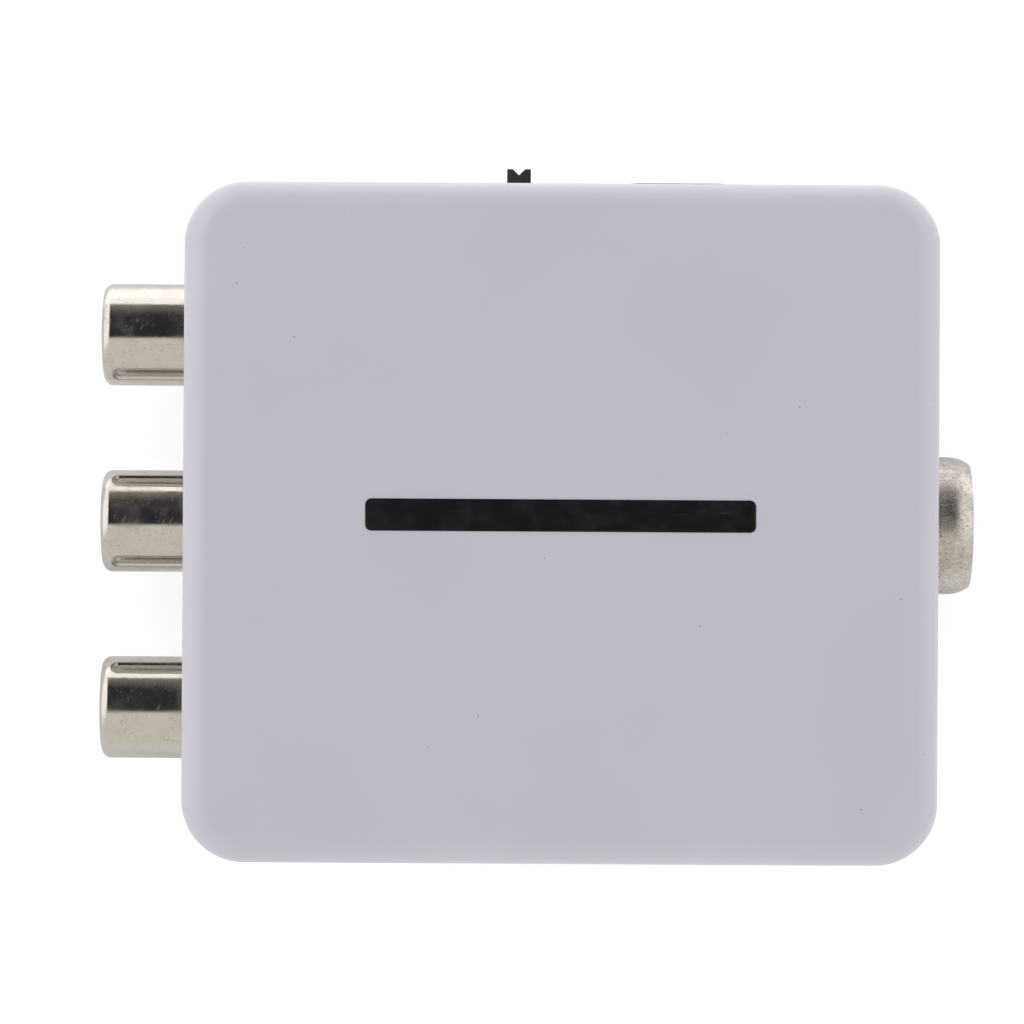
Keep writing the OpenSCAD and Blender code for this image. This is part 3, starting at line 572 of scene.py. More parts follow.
@dataclass(frozen=True)
class MouldedPlastic(Finish):
    """ABS or a like plastic, injection moulded: an even colour under a soft gloss, with the mould's
    faint grain, a slow drift of tone, rare specks and hairline scratches."""

    rough: float = 0.34
    grain: float = 0.16
    grain_depth: float = 0.004
    drift: float = 14.0
    smudge: float = 9.0
    speck_gap: float = 0.0
    depth_glow: float = 0.0
    bloom: float = 0.0

    def surface(self, add: Adder, place: bpy.types.NodeSocket) -> dict[str, Feed]:
        """Draws an even moulded colour with fine grain, drift, specks and scratches.

        Args:
            add: adds a node to the material.
            place: the object coordinates.

        Returns:
            What each input of the shader gets.
        """
        drift = add(FADE, add(NOISE, place, per(self.drift)), 0.3, 0.7)
        colour = add(MIX, drift, linear(self.colour), linear(self.colour, share=0.975))
        if self.speck_gap:
            dust = specks(add, place, apart=self.speck_gap, size=0.11, empty=0.62)
            colour = add(MIX, add(TIMES, dust, 0.5), colour, linear("5A5350"))
        scratch = add(LARGER, hairlines(add, place, turn=31, width=0.13, length=8.0, above=0.76),
                      hairlines(add, place, turn=118, width=0.13, length=6.0, above=0.77))
        smudge = add(NOISE, place, per(self.smudge), Detail=4.0, Roughness=0.6)
        gloss = add(FADE, smudge, 0.3, 0.7, self.rough - 0.02, self.rough + 0.05)
        relief = add(TIMES_PLUS, scratch, -0.5, add(NOISE, place, per(self.grain)))
        return {
            "Base Color": colour,
            "Roughness": add(TIMES_PLUS, scratch, 0.12, gloss),
            "IOR": 1.54,
            "Subsurface Weight": self.depth_glow,
            "Subsurface Scale": 1.2 * MM,
            "Sheen Weight": self.bloom,
            "Sheen Roughness": 0.45,
            "Normal": add(BUMP, Distance=self.grain_depth * MM, Height=relief),
        }


@dataclass(frozen=True)
class PrintedInk(Finish):
    """Pad-printed ink on plastic: dense blue-black with a dull sheen, rubbed in a few places."""

    patch: float = 1.6
    film: float = 0.12

    def surface(self, add: Adder, place: bpy.types.NodeSocket) -> dict[str, Feed]:
        """Draws a dense ink with faint rubbed streaks and pin-holes.

        Args:
            add: adds a node to the material.
            place: the object coordinates.

        Returns:
            What each input of the shader gets.
        """
        patch = add(NOISE, place, per(self.patch), Detail=4.0, Roughness=0.6)
        patch = add(FADE, patch, 0.35, 0.75)
        ink = add(MIX, add(TIMES, patch, 0.4), linear(self.colour), linear("121419"))
        rub = add(TIMES, hairlines(add, place, turn=8, width=0.12, length=3.0, above=0.72), 0.3)
        pins = add(TIMES, specks(add, place, apart=1.4, size=0.09, empty=0.7), 0.35)
        film = add(NOISE, place, per(self.film))
        return {
            "Base Color": add(MIX, add(LARGER, rub, pins), ink, linear("6C6E76")),
            "Roughness": add(FADE, patch, 0.0, 1.0, 0.3, 0.4),
            "IOR": 1.4,
            "Normal": add(BUMP, Distance=0.003 * MM, Height=film),
        }


@dataclass(frozen=True)
class PlatedMetal(Finish):
    """Sheet or turned metal under bright plate: mirror-like, with fine lines along the way it was
    drawn, soft smudges of roughness, brown stains and rare pin-holes in the plate."""

    rough: float = 0.12
    draw: Point3 = (0.06, 1.0, 1.0)
    line: float = 0.09
    depth: float = 0.0012
    peel: float = 3.0
    peel_size: float = 0.55
    smudge: float = 2.4
    spot: float = 0.24
    spot_patch: float = 1.7
    stain: float = 0.42

    def surface(self, add: Adder, place: bpy.types.NodeSocket) -> dict[str, Feed]:
        """Draws bright metal with draw lines, smudges, stains and pin-holes.

        Args:
            add: adds a node to the material.
            place: the object coordinates.

        Returns:
            What each input of the shader gets.
        """
        smudge = add(NOISE, place, per(self.smudge), Detail=4.0, Roughness=0.62)
        cloud = add(FADE, smudge, 0.42, 0.72, 0.0, 0.5)
        colour = add(MIX, cloud, linear(self.colour), linear(self.colour, share=0.8))
        spots = add(NOISE, place, per(self.spot), Detail=3.0, Roughness=0.75)
        spots = add(FADE, spots, 0.55, 0.69, 0.0, self.stain)
        where = add(FADE, add(NOISE, place, per(self.spot_patch)), 0.42, 0.58)
        colour = add(MIX, add(TIMES, spots, where), colour, linear("75624F"))
        pins = specks(add, place, apart=0.7, size=0.055, empty=0.66)
        colour = add(MIX, add(TIMES, pins, 0.6), colour, linear("5C5248"))
        drawn = add("ShaderNodeMapping", Vector=place, Scale=self.draw)
        lines = add(NOISE, drawn, per(self.line), Detail=3.0, Roughness=0.6)
        skin = add(NOISE, place, per(self.peel_size), Roughness=0.6)
        scuff = hairlines(add, place, turn=64, width=0.07, length=1.6, above=0.7)
        relief = lines
        for mask, height in ((skin, self.peel), (pins, -2.0), (scuff, -1.2)):
            relief = add(TIMES_PLUS, mask, height, relief)
        return {
            "Base Color": colour,
            "Roughness": add(FADE, smudge, 0.32, 0.72, self.rough * 0.7, self.rough * 2.2),
            "Metallic": 1.0,
            "Normal": add(BUMP, Distance=self.depth * MM, Height=relief),
        }


@dataclass(frozen=True)
class CastMetal(Finish):
    """Zinc die casting under dull nickel: a warm grey that is rough to the eye, with a coarse
    grain, small pits, and streaks where it left the die."""

    rough: float = 0.3
    grain: float = 0.16
    patch: float = 1.7
    depth: float = 0.011

    def surface(self, add: Adder, place: bpy.types.NodeSocket) -> dict[str, Feed]:
        """Draws a grainy casting with pits and streaks, with painted shade in their hollows.

        Args:
            add: adds a node to the material.
            place: the object coordinates.

        Returns:
            What each input of the shader gets.
        """
        dark = linear(self.colour, share=0.5)
        patch = add(NOISE, place, per(self.patch), Detail=4.0, Roughness=0.6)
        grain = add(NOISE, place, per(self.grain), Detail=4.0, Roughness=0.75)
        streak = hairlines(add, place, turn=0, width=0.2, length=2.2, above=0.62)
        pits = specks(add, place, apart=0.5, size=0.085, empty=0.35)
        tone = linear(self.colour)
        # The tone darkens in random patches, and where the bump sinks the surface: in the grain's low
        # spots, the pits and the streaks. This is the casting's uneven tone with painted shade in
        # these hollows.
        for share, shade in (
            (add(FADE, patch, 0.42, 0.72, 0.0, 0.5), dark),
            (add(FADE, grain, 0.28, 0.6, 0.95, 0.0), dark),
            (add(TIMES, streak, 0.55), dark),
            (add(TIMES, pits, 0.75), linear("5E564C")),
        ):
            tone = add(MIX, share, tone, shade)
        relief = add(MINUS, grain, add(PLUS, pits, streak))
        return {
            "Base Color": tone,
            "Roughness": add(FADE, patch, 0.3, 0.7, self.rough - 0.015, self.rough + 0.09),
            "Metallic": 1.0,
            "Normal": add(BUMP, Distance=self.depth * MM, Height=relief),
        }


@dataclass(frozen=True)
class BoardLaminate(Finish):
    """Glass-epoxy board under green solder mask: a wet green gloss with the weave and the tracks
    showing faintly through."""

    weave: float = 0.55
    track: float = 1.9
    ripple: float = 0.4

    def surface(self, add: Adder, place: bpy.types.NodeSocket) -> dict[str, Feed]:
        """Draws solder mask over weave and tracks.

        Args:
            add: adds a node to the material.
            place: the object coordinates.

        Returns:
            What each input of the shader gets.
        """
        base = linear(self.colour)
        check = add("ShaderNodeTexChecker", place, base, linear("1D6039"), per(self.weave))
        route = add(("ShaderNodeTexBrick", {"offset": 0.37, "squash": 0.6}), place,
                    linear("2F7A4A"), linear("2A7345"), base, per(10 * self.track),
                    **{"Mortar Size": 0.012})
        ripple = add(NOISE, place, per(self.ripple))
        return {
            "Base Color": add(MIX, 0.35, check, route),
            "Roughness": 0.28,
            "Normal": add(BUMP, Distance=0.006 * MM, Height=ripple),
        }


@dataclass(frozen=True)
class FiredCeramic(Finish):
    """Fired chip ceramic or pressed paper board: a dense, finely speckled tone, dully glazed."""

    fleck: str = "3C3B3D"
    fleck_size: float = 0.14

    def surface(self, add: Adder, place: bpy.types.NodeSocket) -> dict[str, Feed]:
        """Draws a finely speckled surface.

        Args:
            add: adds a node to the material.
            place: the object coordinates.

        Returns:
            What each input of the shader gets.
        """
        flecks = add(NOISE, place, per(self.fleck_size), Detail=3.0, Roughness=0.7)
        flecks = add(FADE, flecks, 0.45, 0.7)
        return {
            "Base Color": add(MIX, flecks, linear(self.colour), linear(self.fleck)),
            "Roughness": 0.38,
            "Normal": add(BUMP, Distance=0.006 * MM, Height=flecks),
        }


# Pale ABS case: satin gloss and an even grey-lilac, which reads as clean moulded plastic
CASE = MouldedPlastic("pale_moulded_abs", "case_plastic", "C0BCC5", rough=0.31, grain_depth=0.003,
                      speck_gap=2.5, bloom=0.36)
# Black PBT and phenolic mouldings: a dull near-black that keeps their edges readable
BLACK = MouldedPlastic("black_moulded_pbt", "black_plastic", "262526", rough=0.42, grain=0.12,
                       grain_depth=0.006)
# Coloured polyethylene inserts: saturated, slightly translucent, so that their bores glow a little
YELLOW, WHITE, RED = (
    MouldedPlastic(f"{name}_moulded_polythene", f"{name}_plastic", colour, depth_glow=0.15)
    for name, colour in (("yellow", "EDBE1C"), ("white", "ECEBE4"), ("red", "C2201F"))
)
# Blue-black pad print: a flat bar that is duller than the case round it
INK = PrintedInk("black_pad_print", "black_ink", "08090B")
# Bright nickel on pressed sheet: hard reflections in bands along the barrels
NICKEL = PlatedMetal("nickel_plated_sheet", "jack_nickel", "D8D4CC", rough=0.1)
# Dull nickel on a zinc casting: grainy and grey beside the bright barrels
CAST = CastMetal("nickel_plated_casting", "cast_nickel", "DFD9D0")
# Tin plate on folded sheet: soft, cloudy and slightly grey reflections
TIN = PlatedMetal("tin_plated_sheet", "tinned_steel", "CFCECA", rough=0.2, draw=(1.0, 0.08, 1.0),
                  line=0.14, stain=0.2)
# Spring brass with a thin flash of gold: the only warm metal, deep inside the sockets
BRASS = PlatedMetal("gold_flashed_brass", "contact_metal", "DDB766", rough=0.2, stain=0.15)
# Drawn aluminium: matt silver with fine lines round it
ALUMINIUM = PlatedMetal("drawn_aluminium", "aluminium_can", "CFCFCF", rough=0.3,
                        draw=(1.0, 1.0, 0.1), line=0.12, stain=0.1)
# Green solder mask over glass laminate: the wet green of a circuit board
BOARD = BoardLaminate("solder_masked_laminate", "board_laminate", "1A5A36")
# Paper laminate: a dry brown with fibres
PAPER = FiredCeramic("brown_paper_laminate", "brown_laminate", "6E4526", "7E5634")
# Ceramic chips: black glazed resistors and tan fired capacitors
BLACK_CHIP = FiredCeramic("black_glazed_ceramic", "black_ceramic", "2A2A2C")
TAN_CHIP = FiredCeramic("tan_fired_ceramic", "tan_ceramic", "A67F58", "B58F69")


def fitted(piece: Piece, finish: Finish, nodes: Sequence[str], body: Body = Body.HOUSING) -> None:
    """Gives a new piece its material and its body, and hides the nodes that it stands for.

    Args:
        piece: the finished mesh.
        finish: its finish.
        nodes: the frame's nodes that it replaces.
        body: the body that it moves with.
    """
    piece.data.materials.clear()
    piece.data.materials.append(finish.build())
    for face in piece.data.polygons:
        face.material_index = 0
    if nodes:
        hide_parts(*nodes)
    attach(piece, body.value)
    LOG.info("%s: %d faces, %s", piece.name, len(piece.data.polygons), finish.name)


def dressed(node: str, finish: Finish) -> None:
    """Gives a node of the frame a finish in place of its plain colour.

    Args:
        node: the node's name.
        finish: its finish.
    """
    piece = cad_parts[node]
    piece.data.materials.clear()
    piece.data.materials.append(finish.build())
    LOG.info("%s: as built, %s", node, finish.name)


def softened(node: str, name: str, finish: Finish, ease: float = 0.0,
             body: Body = Body.HOUSING) -> None:
    """Puts a merged copy with eased edges in the place of a node of the frame.

    Args:
        node: the node's name.
        name: name of the copy.
        finish: its finish.
        ease: width of the rounding along its sharp edges.
        body: the body that it moves with.
    """
    piece = placed(name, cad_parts[node].data.copy())
    shape = bmesh.new()
    shape.from_mesh(piece.data)
    bmesh.ops.remove_doubles(shape, verts=shape.verts, dist=WELD)
    bmesh.ops.dissolve_limit(shape, angle_limit=FLAT_TURN, verts=shape.verts, edges=shape.edges)
    shape.to_mesh(piece.data)
    shape.free()
    if piece.data.has_custom_normals:
        piece.data.normals_split_custom_set_from_vertices([(0, 0, 0)] * len(piece.data.vertices))
    if ease:
        bevel = piece.modifiers.new("ease", "BEVEL")
        bevel.width = ease * MM
        bevel.segments = 2
        bevel.limit_method = "ANGLE"
        bevel.angle_limit = SHARP_TURN
        bevel.use_clamp_overlap = True
        baked(piece)
    fitted(smoothed(piece), finish, [node], body)


@dataclass
class Modelling:
    """A Geometry Nodes tree while it is being drawn, with a named input for each size; a whole
    number makes a whole-number input."""

    piece: Piece
    name: str
    finish: Finish
    sizes: dict[str, float]

    def __post_init__(self) -> None:
        """Makes the tree and its inputs."""
        self.tree = bpy.data.node_groups.new(self.name, "GeometryNodeTree")
        self.add: Adder = partial(add_node, self.tree)
        self.values = {}
        sockets = self.tree.interface
        sockets.new_socket("Geometry", in_out="INPUT", socket_type="NodeSocketGeometry")
        for label, value in {**self.sizes, "Finish": self.finish.build()}.items():
            kind = {int: "Int", float: "Float"}.get(type(value), "Material")
            socket = sockets.new_socket(label, in_out="INPUT", socket_type=f"NodeSocket{kind}")
            self.values[socket.identifier] = value
        sockets.new_socket("Geometry", in_out="OUTPUT", socket_type="NodeSocketGeometry")
        self.given = self.add("NodeGroupInput").outputs
        LOG.info("%s: tree with %s", self.name, ", ".join(self.sizes))

    def end(self, shape: bpy.types.Node) -> None:
        """Ends the tree, and turns its result into the piece's plain mesh.

        Args:
            shape: the node that gives the finished shape.
        """
        real = self.add("GeometryNodeRealizeInstances", shape)
        painted = self.add("GeometryNodeSetMaterial", Geometry=real, Material=self.given["Finish"])
        self.add("NodeGroupOutput", painted)
        step = self.piece.modifiers.new(self.name, "NODES")
        step.node_group = self.tree
        for identifier, value in self.values.items():
            step[identifier] = value
        baked(self.piece)


@dataclass
class CaseShells:
    """The two halves of the case and the printed stripe."""

    corner_r: float = 5.0
    edge_r: float = 2.0
    wall: float = 1.6
    floor: float = 1.6
    straight: float = 2.0
    lip: float = 0.7
    lip_up: float = 1.0
    lip_room: float = 0.1
    shadow: Point2 = (0.25, 0.3)
    corner_steps: int = 14
    edge_steps: int = 10
    soft: float = 0.1
    fillet: float = 0.3
    smooth: float = 32
    jack_hole_r: float = 4.8
    aerial_hole_r: float = 5.9
    hole_soft: float = 0.18
    hole_steps: int = 5
    hole_segments: int = 128
    power_notch: Point2 = (8.5, 0.4)
    switch_notch: Point3 = (4.55, 0.65, 2.95)
    switch_travel: float = 2.0
    notch_up: float = 3.0
    finger_room: float = 0.1
    post_r: float = 2.3
    post_segments: int = 48
    peg_r: float = 1.2
    peg_up: float = 2.5
    peg_room: float = 0.05
    peg_tip: float = 0.3
    post_wall_gap: float = 0.2
    floor_rib: Point3 = (30.0, 1.0, 15.0)
    hold_rib: Point3 = (7.0, 1.2, 0.9)
    bite: float = 1.0
    sunk: float = 0.5
    stripe_r: float = 0.5
    stripe_steps: int = 8
    ink_spread: float = 0.07
    ink_sunk: float = 0.01
    ink_edge: Point2 = (0.02, 0.03)

    def __post_init__(self) -> None:
        """Reads the case's sizes and the levels from the frame."""
        high = span("bottom_shell")[1]
        self.half_x, self.half_y = high.x, high.y
        self.top = span("top_shell")[1].z
        self.seam = high.z - self.lip_up
        self.board_bottom, self.board_top = (corner.z for corner in span("circuit_board"))
        self.jack_ys = [sum(corner.y for corner in span(f"jack_barrel_{colour}")) / 2
                        for colour in InputJacks.colours]
        self.in_x, self.in_y = self.half_x - self.wall, self.half_y - self.wall
        inner_r = self.corner_r - self.wall
        self.post_x = self.in_x - max(inner_r, self.post_r + self.post_wall_gap)
        self.post_y = self.in_y - self.post_r - self.post_wall_gap

    def shell(self, name: str, section: Sequence[Point2]) -> Piece:
        """Makes a shell from a section that runs from its flat outside round to its flat inside.

        Args:
            name: the object's name.
            section: points as inset from the case's outline and height.

        Returns:
            The closed shell.
        """
        rows = []
        for inset, z in section:
            outline = rounded_outline(self.half_x - inset, self.half_y - inset,
                                      self.corner_r - inset, self.corner_steps)
            rows.append([(x, y, z) for x, y in outline])
        return skinned(name, rows)

    def hole_cutters(self) -> list[Piece]:
        """Tools for the round holes in the end walls, flared to round the holes' rims.

        Returns:
            One cutter for each jack, and one for the aerial socket.
        """
        turns = [math.radians(90 * k / self.hole_steps) for k in range(self.hole_steps + 1)]
        holes = [(-self.half_x, y, self.jack_hole_r, 1) for y in self.jack_ys]
        holes.append((self.half_x, 0.0, self.aerial_hole_r, -1))
        cutters = []
        for x, y, radius, way in holes:
            flare = [(radius + self.hole_soft * (1 - math.sin(a)), self.hole_soft * (1 - math.cos(a)))
                     for a in turns]
            section = [(0, -self.bite), (flare[0][0], -self.bite), *flare,
                       (radius, self.wall + self.bite), (0, self.wall + self.bite)]
            cutters.append(turned("hole_cutter", [(r, way * d) for r, d in section],
                                  (x, y, self.seam), Axis.PLUS_X, self.hole_segments))
        return cutters

    def posts(self, section: Sequence[Point2]) -> list[Piece]:
        """Turned posts at the four corners of the board, from radii and heights."""
        return [turned("post", section, (sx * self.post_x, sy * self.post_y, 0), Axis.PLUS_Z,
                       self.post_segments) for sx in SIDES for sy in SIDES]

    def notches(self) -> list[tuple[float, float, float, float]]:
        """Middle, width, lowest and highest level of the two openings in the rear wall.

        Returns:
            First the power socket's, then the knob's.
        """
        (low, high), knob = span("power_socket_shell"), span("switch_knob")
        width, room = self.power_notch
        return [
            ((low.x + high.x) / 2, width, low.z - room, high.z + room),
            ((knob[0].x + knob[1].x) / 2 + self.switch_travel / 2, self.switch_notch[0],
             self.board_top + self.switch_notch[1], self.board_top + self.switch_notch[2]),
        ]

    def upper(self) -> None:
        """Builds the upper shell, with its lip's rebate, posts, hold-down ribs, and fingers that
        close the openings above the power socket and the knob."""
        seam, top, soft = self.seam, self.top, self.soft
        rebate, step = self.wall - self.lip - self.lip_room, seam + self.lip_up + self.lip_room
        edge = arc((self.edge_r, top - self.edge_r), self.edge_r, 180, 90, self.edge_steps)
        rim = eased([
            (0.0, seam + self.straight), (0.0, seam + self.shadow[1]),
            (self.shadow[0], seam + self.shadow[1]), (self.shadow[0], seam), (rebate, seam),
            (rebate, step), (self.wall, step), (self.wall, top - self.floor),
            (self.wall + self.bite, top - self.floor),
        ], [0, soft, soft / 2, soft / 2, soft, soft / 2, soft, self.fillet, 0])
        piece = self.shell("case_upper", edge[::-1] + rim)
        combined(piece, self.hole_cutters(), Join.CUT)
        bore, bore_top = self.peg_r + self.peg_room, self.board_top + self.peg_up + self.lip_room
        tools = self.posts([(0, bore_top), (bore, bore_top), (bore, self.board_top),
                            (self.post_r, self.board_top), (self.post_r, top - self.bite),
                            (0, top - self.bite)])
        low, high = span("jack_block")
        length, width, place = self.hold_rib
        for side in SIDES:
            x, y = low.x + place, side * self.jack_ys[0] / 2
            tools.append(block("hold_rib", (x, y - width / 2, high.z + self.lip_room),
                               (x + length, y + width / 2, top - self.bite)))
        for middle, width, _, level in self.notches():
            tools.append(block("finger", (middle - width / 2 + self.finger_room, self.in_y, level),
                               (middle + width / 2 - self.finger_room, self.half_y, step)))
        combined(piece, tools, Join.ADD)
        fitted(smoothed(piece, self.smooth), CASE, ["top_shell"])

    def lower(self) -> None:
        """Builds the lower shell, with its lip, posts, pegs, floor ribs and rear openings."""
        seam, soft, lip_top = self.seam, self.soft, self.seam + self.lip_up
        edge = arc((self.edge_r, self.edge_r), self.edge_r, 270, 180, self.edge_steps)
        rim = eased([
            (0.0, seam - self.straight), (0.0, seam), (self.wall - self.lip, seam),
            (self.wall - self.lip, lip_top), (self.wall, lip_top), (self.wall, self.floor),
            (self.wall + self.bite, self.floor),
        ], [0, soft, soft / 2, soft, soft, self.fillet, 0])
        piece = self.shell("case_lower", edge + rim)
        combined(piece, self.hole_cutters() + self.notch_cutters(), Join.CUT)
        root, tip = self.floor - self.sunk, self.board_top + self.peg_up
        tools = self.posts([(0, root), (self.post_r, root), (self.post_r, self.board_bottom),
                            (self.peg_r, self.board_bottom), (self.peg_r, tip - self.peg_tip),
                            (self.peg_r - self.peg_tip, tip), (0, tip)])
        length, width, place = self.floor_rib
        for y in (-place, place):
            tools.append(block("floor_rib", (-length / 2, y - width / 2, root),
                               (length / 2, y + width / 2, self.board_bottom)))
        combined(piece, tools, Join.ADD)
        fitted(smoothed(piece, self.smooth), CASE, ["bottom_shell"])

    def notch_cutters(self) -> list[Piece]:
        """Tools for the openings in the rear wall, with round lower corners and flared rims.

        Returns:
            One cutter for each opening.
        """
        soft, out = self.hole_soft, self.half_y
        levels = [(self.in_y - self.bite, 0.0), (out - soft, 0.0),
                  (out - soft * SOFT_SHARE, -soft * SOFT_SHARE), (out, -soft),
                  (out + self.sunk, -soft)]
        cutters = []
        for middle, width, low, _ in self.notches():
            half, tall = width / 2, self.seam + self.notch_up - low
            outline = eased([(half, tall), (-half, tall), (-half, 0.0), (half, 0.0)],
                            [0, 0, self.fillet, self.fillet], steps=4, closed=True)
            cutters.append(prism("notch_cutter", outline, levels,
                                 lambda u, v, h: (middle + u, h, low + v)))
        return cutters

    def stripe(self) -> None:
        """Builds the printed stripe as a thin film of ink with round corners."""
        low, high = span("printed_stripe")
        grow, (edge_down, edge_in) = self.ink_spread, self.ink_edge
        outline = rounded_outline((high.x - low.x) / 2 + grow, (high.y - low.y) / 2 + grow / 2,
                                  self.stripe_r, self.stripe_steps)
        x, y = (high.x + low.x) / 2 - grow / 2, (high.y + low.y) / 2
        levels = [(low.z - self.ink_sunk, 0.0), (high.z - edge_down, 0.0), (high.z, edge_in)]
        piece = prism("ink_stripe", outline, levels, lambda u, v, h: (x + u, y + v, h))
        fitted(smoothed(piece, angle=50), INK, ["printed_stripe"])

    def build(self) -> None:
        """Builds the case."""
        self.upper()
        self.lower()
        self.stripe()


@dataclass
class InputJacks:
    """Three phono jacks: pressed barrels, coloured inserts and split contacts, in one block."""

    colours: tuple[str, ...] = ("yellow", "white", "red")
    groove_sides: tuple[tuple[int, ...], ...] = ((-1,), (-1, 1), (1,))
    groove_angle: float = 54.0
    groove_depth: float = 0.2
    groove_half: float = 0.72
    groove_bed: float = 0.6
    groove_start: float = 1.6
    groove_fade: float = 0.3
    fine_row: float = 0.08
    coarse_row: float = 0.65
    barrel_r: float = 4.15
    sheet: float = 0.35
    sheet_soft: float = 0.06
    lip_r: float = 0.75
    mouth_r: float = 3.1
    flange: float = 0.4
    flange_half: float = 4.8
    flange_power: int = 16
    leg_w: float = 1.2
    leg_down: float = 7.6
    leg_bite: float = 0.3
    overlap: float = 0.02
    segments: int = 384
    insert_segments: int = 160
    insert_room: float = 0.05
    insert_hole_r: float = 1.9
    insert_rim: tuple[float, ...] = (0, 0.3, 0.12, 0.05, 0)
    stub_room: float = 0.1
    pocket_r: float = 2.05
    pocket_l: float = 6.5
    tail_r: float = 0.5
    neck_r: float = 3.55

    def groove(self, sides: Sequence[int]) -> Press:
        """How far a jack's sheet is pressed in at a point.

        Args:
            sides: the sides of the barrel's top that have a groove.

        Returns:
            A function of radius, angle and distance along the axis.
        """
        turns = [math.radians(90 - side * self.groove_angle) for side in sides]

        def press(radius: float, angle: float, along: float) -> float:
            """Gives the depth of the pressing at one point of the sheet.

            Args:
                radius: distance from the barrel's axis, which makes no difference.
                angle: turn about the axis.
                along: distance along the axis from the barrel's front.

            Returns:
                The depth.
            """
            depth, before = 0.0, max(self.groove_start - along, 0.0)
            for turn in turns:
                apart = math.atan2(math.sin(angle - turn), math.cos(angle - turn))
                share = math.hypot(self.barrel_r * apart, before) / self.groove_half
                fall = min(max((1 - share) / (1 - self.groove_bed), 0.0), 1.0)
                depth += self.groove_depth * fall * fall * (3 - 2 * fall)
            return depth * min(max((along - self.lip_r) / self.groove_fade, 0.0), 1.0)

        return press

    def row_places(self, start: float, end: float) -> list[float]:
        """Places along a barrel: close together at the grooves' round ends, then wide apart.

        Args:
            start: where the straight part starts.
            end: where it ends.

        Returns:
            The places between the two, without the ends.
        """
        near = self.groove_start + self.fine_row
        fine = int((near - start) / self.fine_row)
        coarse = int((end - near) / self.coarse_row)
        places = [start + (near - start) * (k + 1) / fine for k in range(fine)]
        return places + [near + (end - near) * (k + 1) / (coarse + 1) for k in range(coarse)]

    def barrel(self, colour: str, press: Press) -> None:
        """Builds one pressed barrel with its rolled lip, grooves, flange and ground leg.

        Args:
            colour: colour of the jack.
            press: how far its sheet is pressed in.
        """
        node = f"jack_barrel_{colour}"
        low, high = span(node)
        y, z, length = (low.y + high.y) / 2, high.z - self.flange_half, high.x - low.x
        lip_c, inner_r = self.barrel_r - self.lip_r, self.barrel_r - self.sheet
        first = length - self.flange
        places = self.row_places(self.lip_r, first)
        rows = [(self.barrel_r, first - self.overlap)]
        rows += [(self.barrel_r, along) for along in reversed(places)]
        rows += arc((lip_c, self.lip_r), self.lip_r, 0, -90, steps=12)
        rows += arc((self.mouth_r, self.sheet / 2), self.sheet / 2, -90, -270, steps=6)
        rows += arc((lip_c, self.lip_r), self.lip_r - self.sheet, -90, 0, steps=6)
        rows += [(inner_r, along) for along in places] + [(inner_r, length)]
        centre, soft, power = (low.x, y, z), self.sheet_soft, self.flange_power
        angles = [2 * math.pi * k / self.segments for k in range(self.segments)]
        place = Axis.PLUS_X.place
        loops = [[place(radius - press(radius, a, along), a, along, centre) for a in angles]
                 for radius, along in rows]
        for along, grow in ((length, -soft), (length - soft, 0.0), (first + soft, 0.0),
                            (first, -soft)):
            reaches = [(self.flange_half + grow)
                       * (abs(math.cos(a)) ** power + abs(math.sin(a)) ** power) ** (-1 / power)
                       for a in angles]
            loops.append([place(r, a, along, centre) for r, a in zip(reaches, angles)])
        piece = skinned(f"barrel_{colour}", loops, ring=True)
        half, leg_top = self.leg_w / 2, z - self.flange_half + self.leg_bite
        leg = block("leg", (high.x - self.flange + self.overlap, y - half, z - self.leg_down),
                    (high.x - self.overlap, y + half, leg_top), soft)
        combined(piece, [leg], Join.ADD)
        fitted(smoothed(piece, angle=40), NICKEL, [node])

    def insert(self, colour: str, finish: Finish, press: Press) -> None:
        """Builds one coloured insert, keyed round the barrel's grooves.

        Args:
            colour: colour of the jack.
            finish: the insert's finish.
            press: how far the barrel's sheet is pressed in.
        """
        node = f"jack_insert_{colour}"
        low, high = span(node)
        barrel_low, barrel_high = span(f"jack_barrel_{colour}")
        zero, room = barrel_low.x, self.insert_room
        front, rear, back = low.x - zero, high.x - zero, barrel_high.x - zero
        pocket = span(f"jack_contact_{colour}")[0].x - zero - room
        body_r = self.barrel_r - self.sheet - room
        stub_r = self.barrel_r - self.lip_r - self.stub_room
        rows = eased([(self.insert_hole_r, pocket), (self.insert_hole_r, front), (stub_r, front),
                      (stub_r, self.lip_r), (body_r, self.lip_r)], self.insert_rim, steps=4)
        rows += [(body_r, along) for along in self.row_places(self.lip_r, back)]
        rows += [(self.neck_r, back), (self.neck_r, rear), (self.tail_r, rear),
                 (self.tail_r, pocket + self.pocket_l), (self.pocket_r, pocket + self.pocket_l),
                 (self.pocket_r, pocket)]

        def key(radius: float, angle: float, along: float) -> float:
            """Depth of the keyway, only in the insert's outside."""
            return press(radius, angle, along) if radius == body_r else 0.0

        piece = turned(f"insert_{colour}", rows, (zero, (low.y + high.y) / 2, (low.z + high.z) / 2),
                       Axis.PLUS_X, self.insert_segments, key)
        fitted(smoothed(piece, angle=40), finish, [node])

    def build(self) -> None:
        """Builds the three jacks and their block."""
        for colour, sides, finish in zip(self.colours, self.groove_sides, (YELLOW, WHITE, RED)):
            press = self.groove(sides)
            self.barrel(colour, press)
            self.insert(colour, finish, press)
            softened(f"jack_contact_{colour}", f"contact_{colour}", BRASS, ease=0.06)
        softened("jack_block", "block_of_jacks", BLACK, ease=0.12)


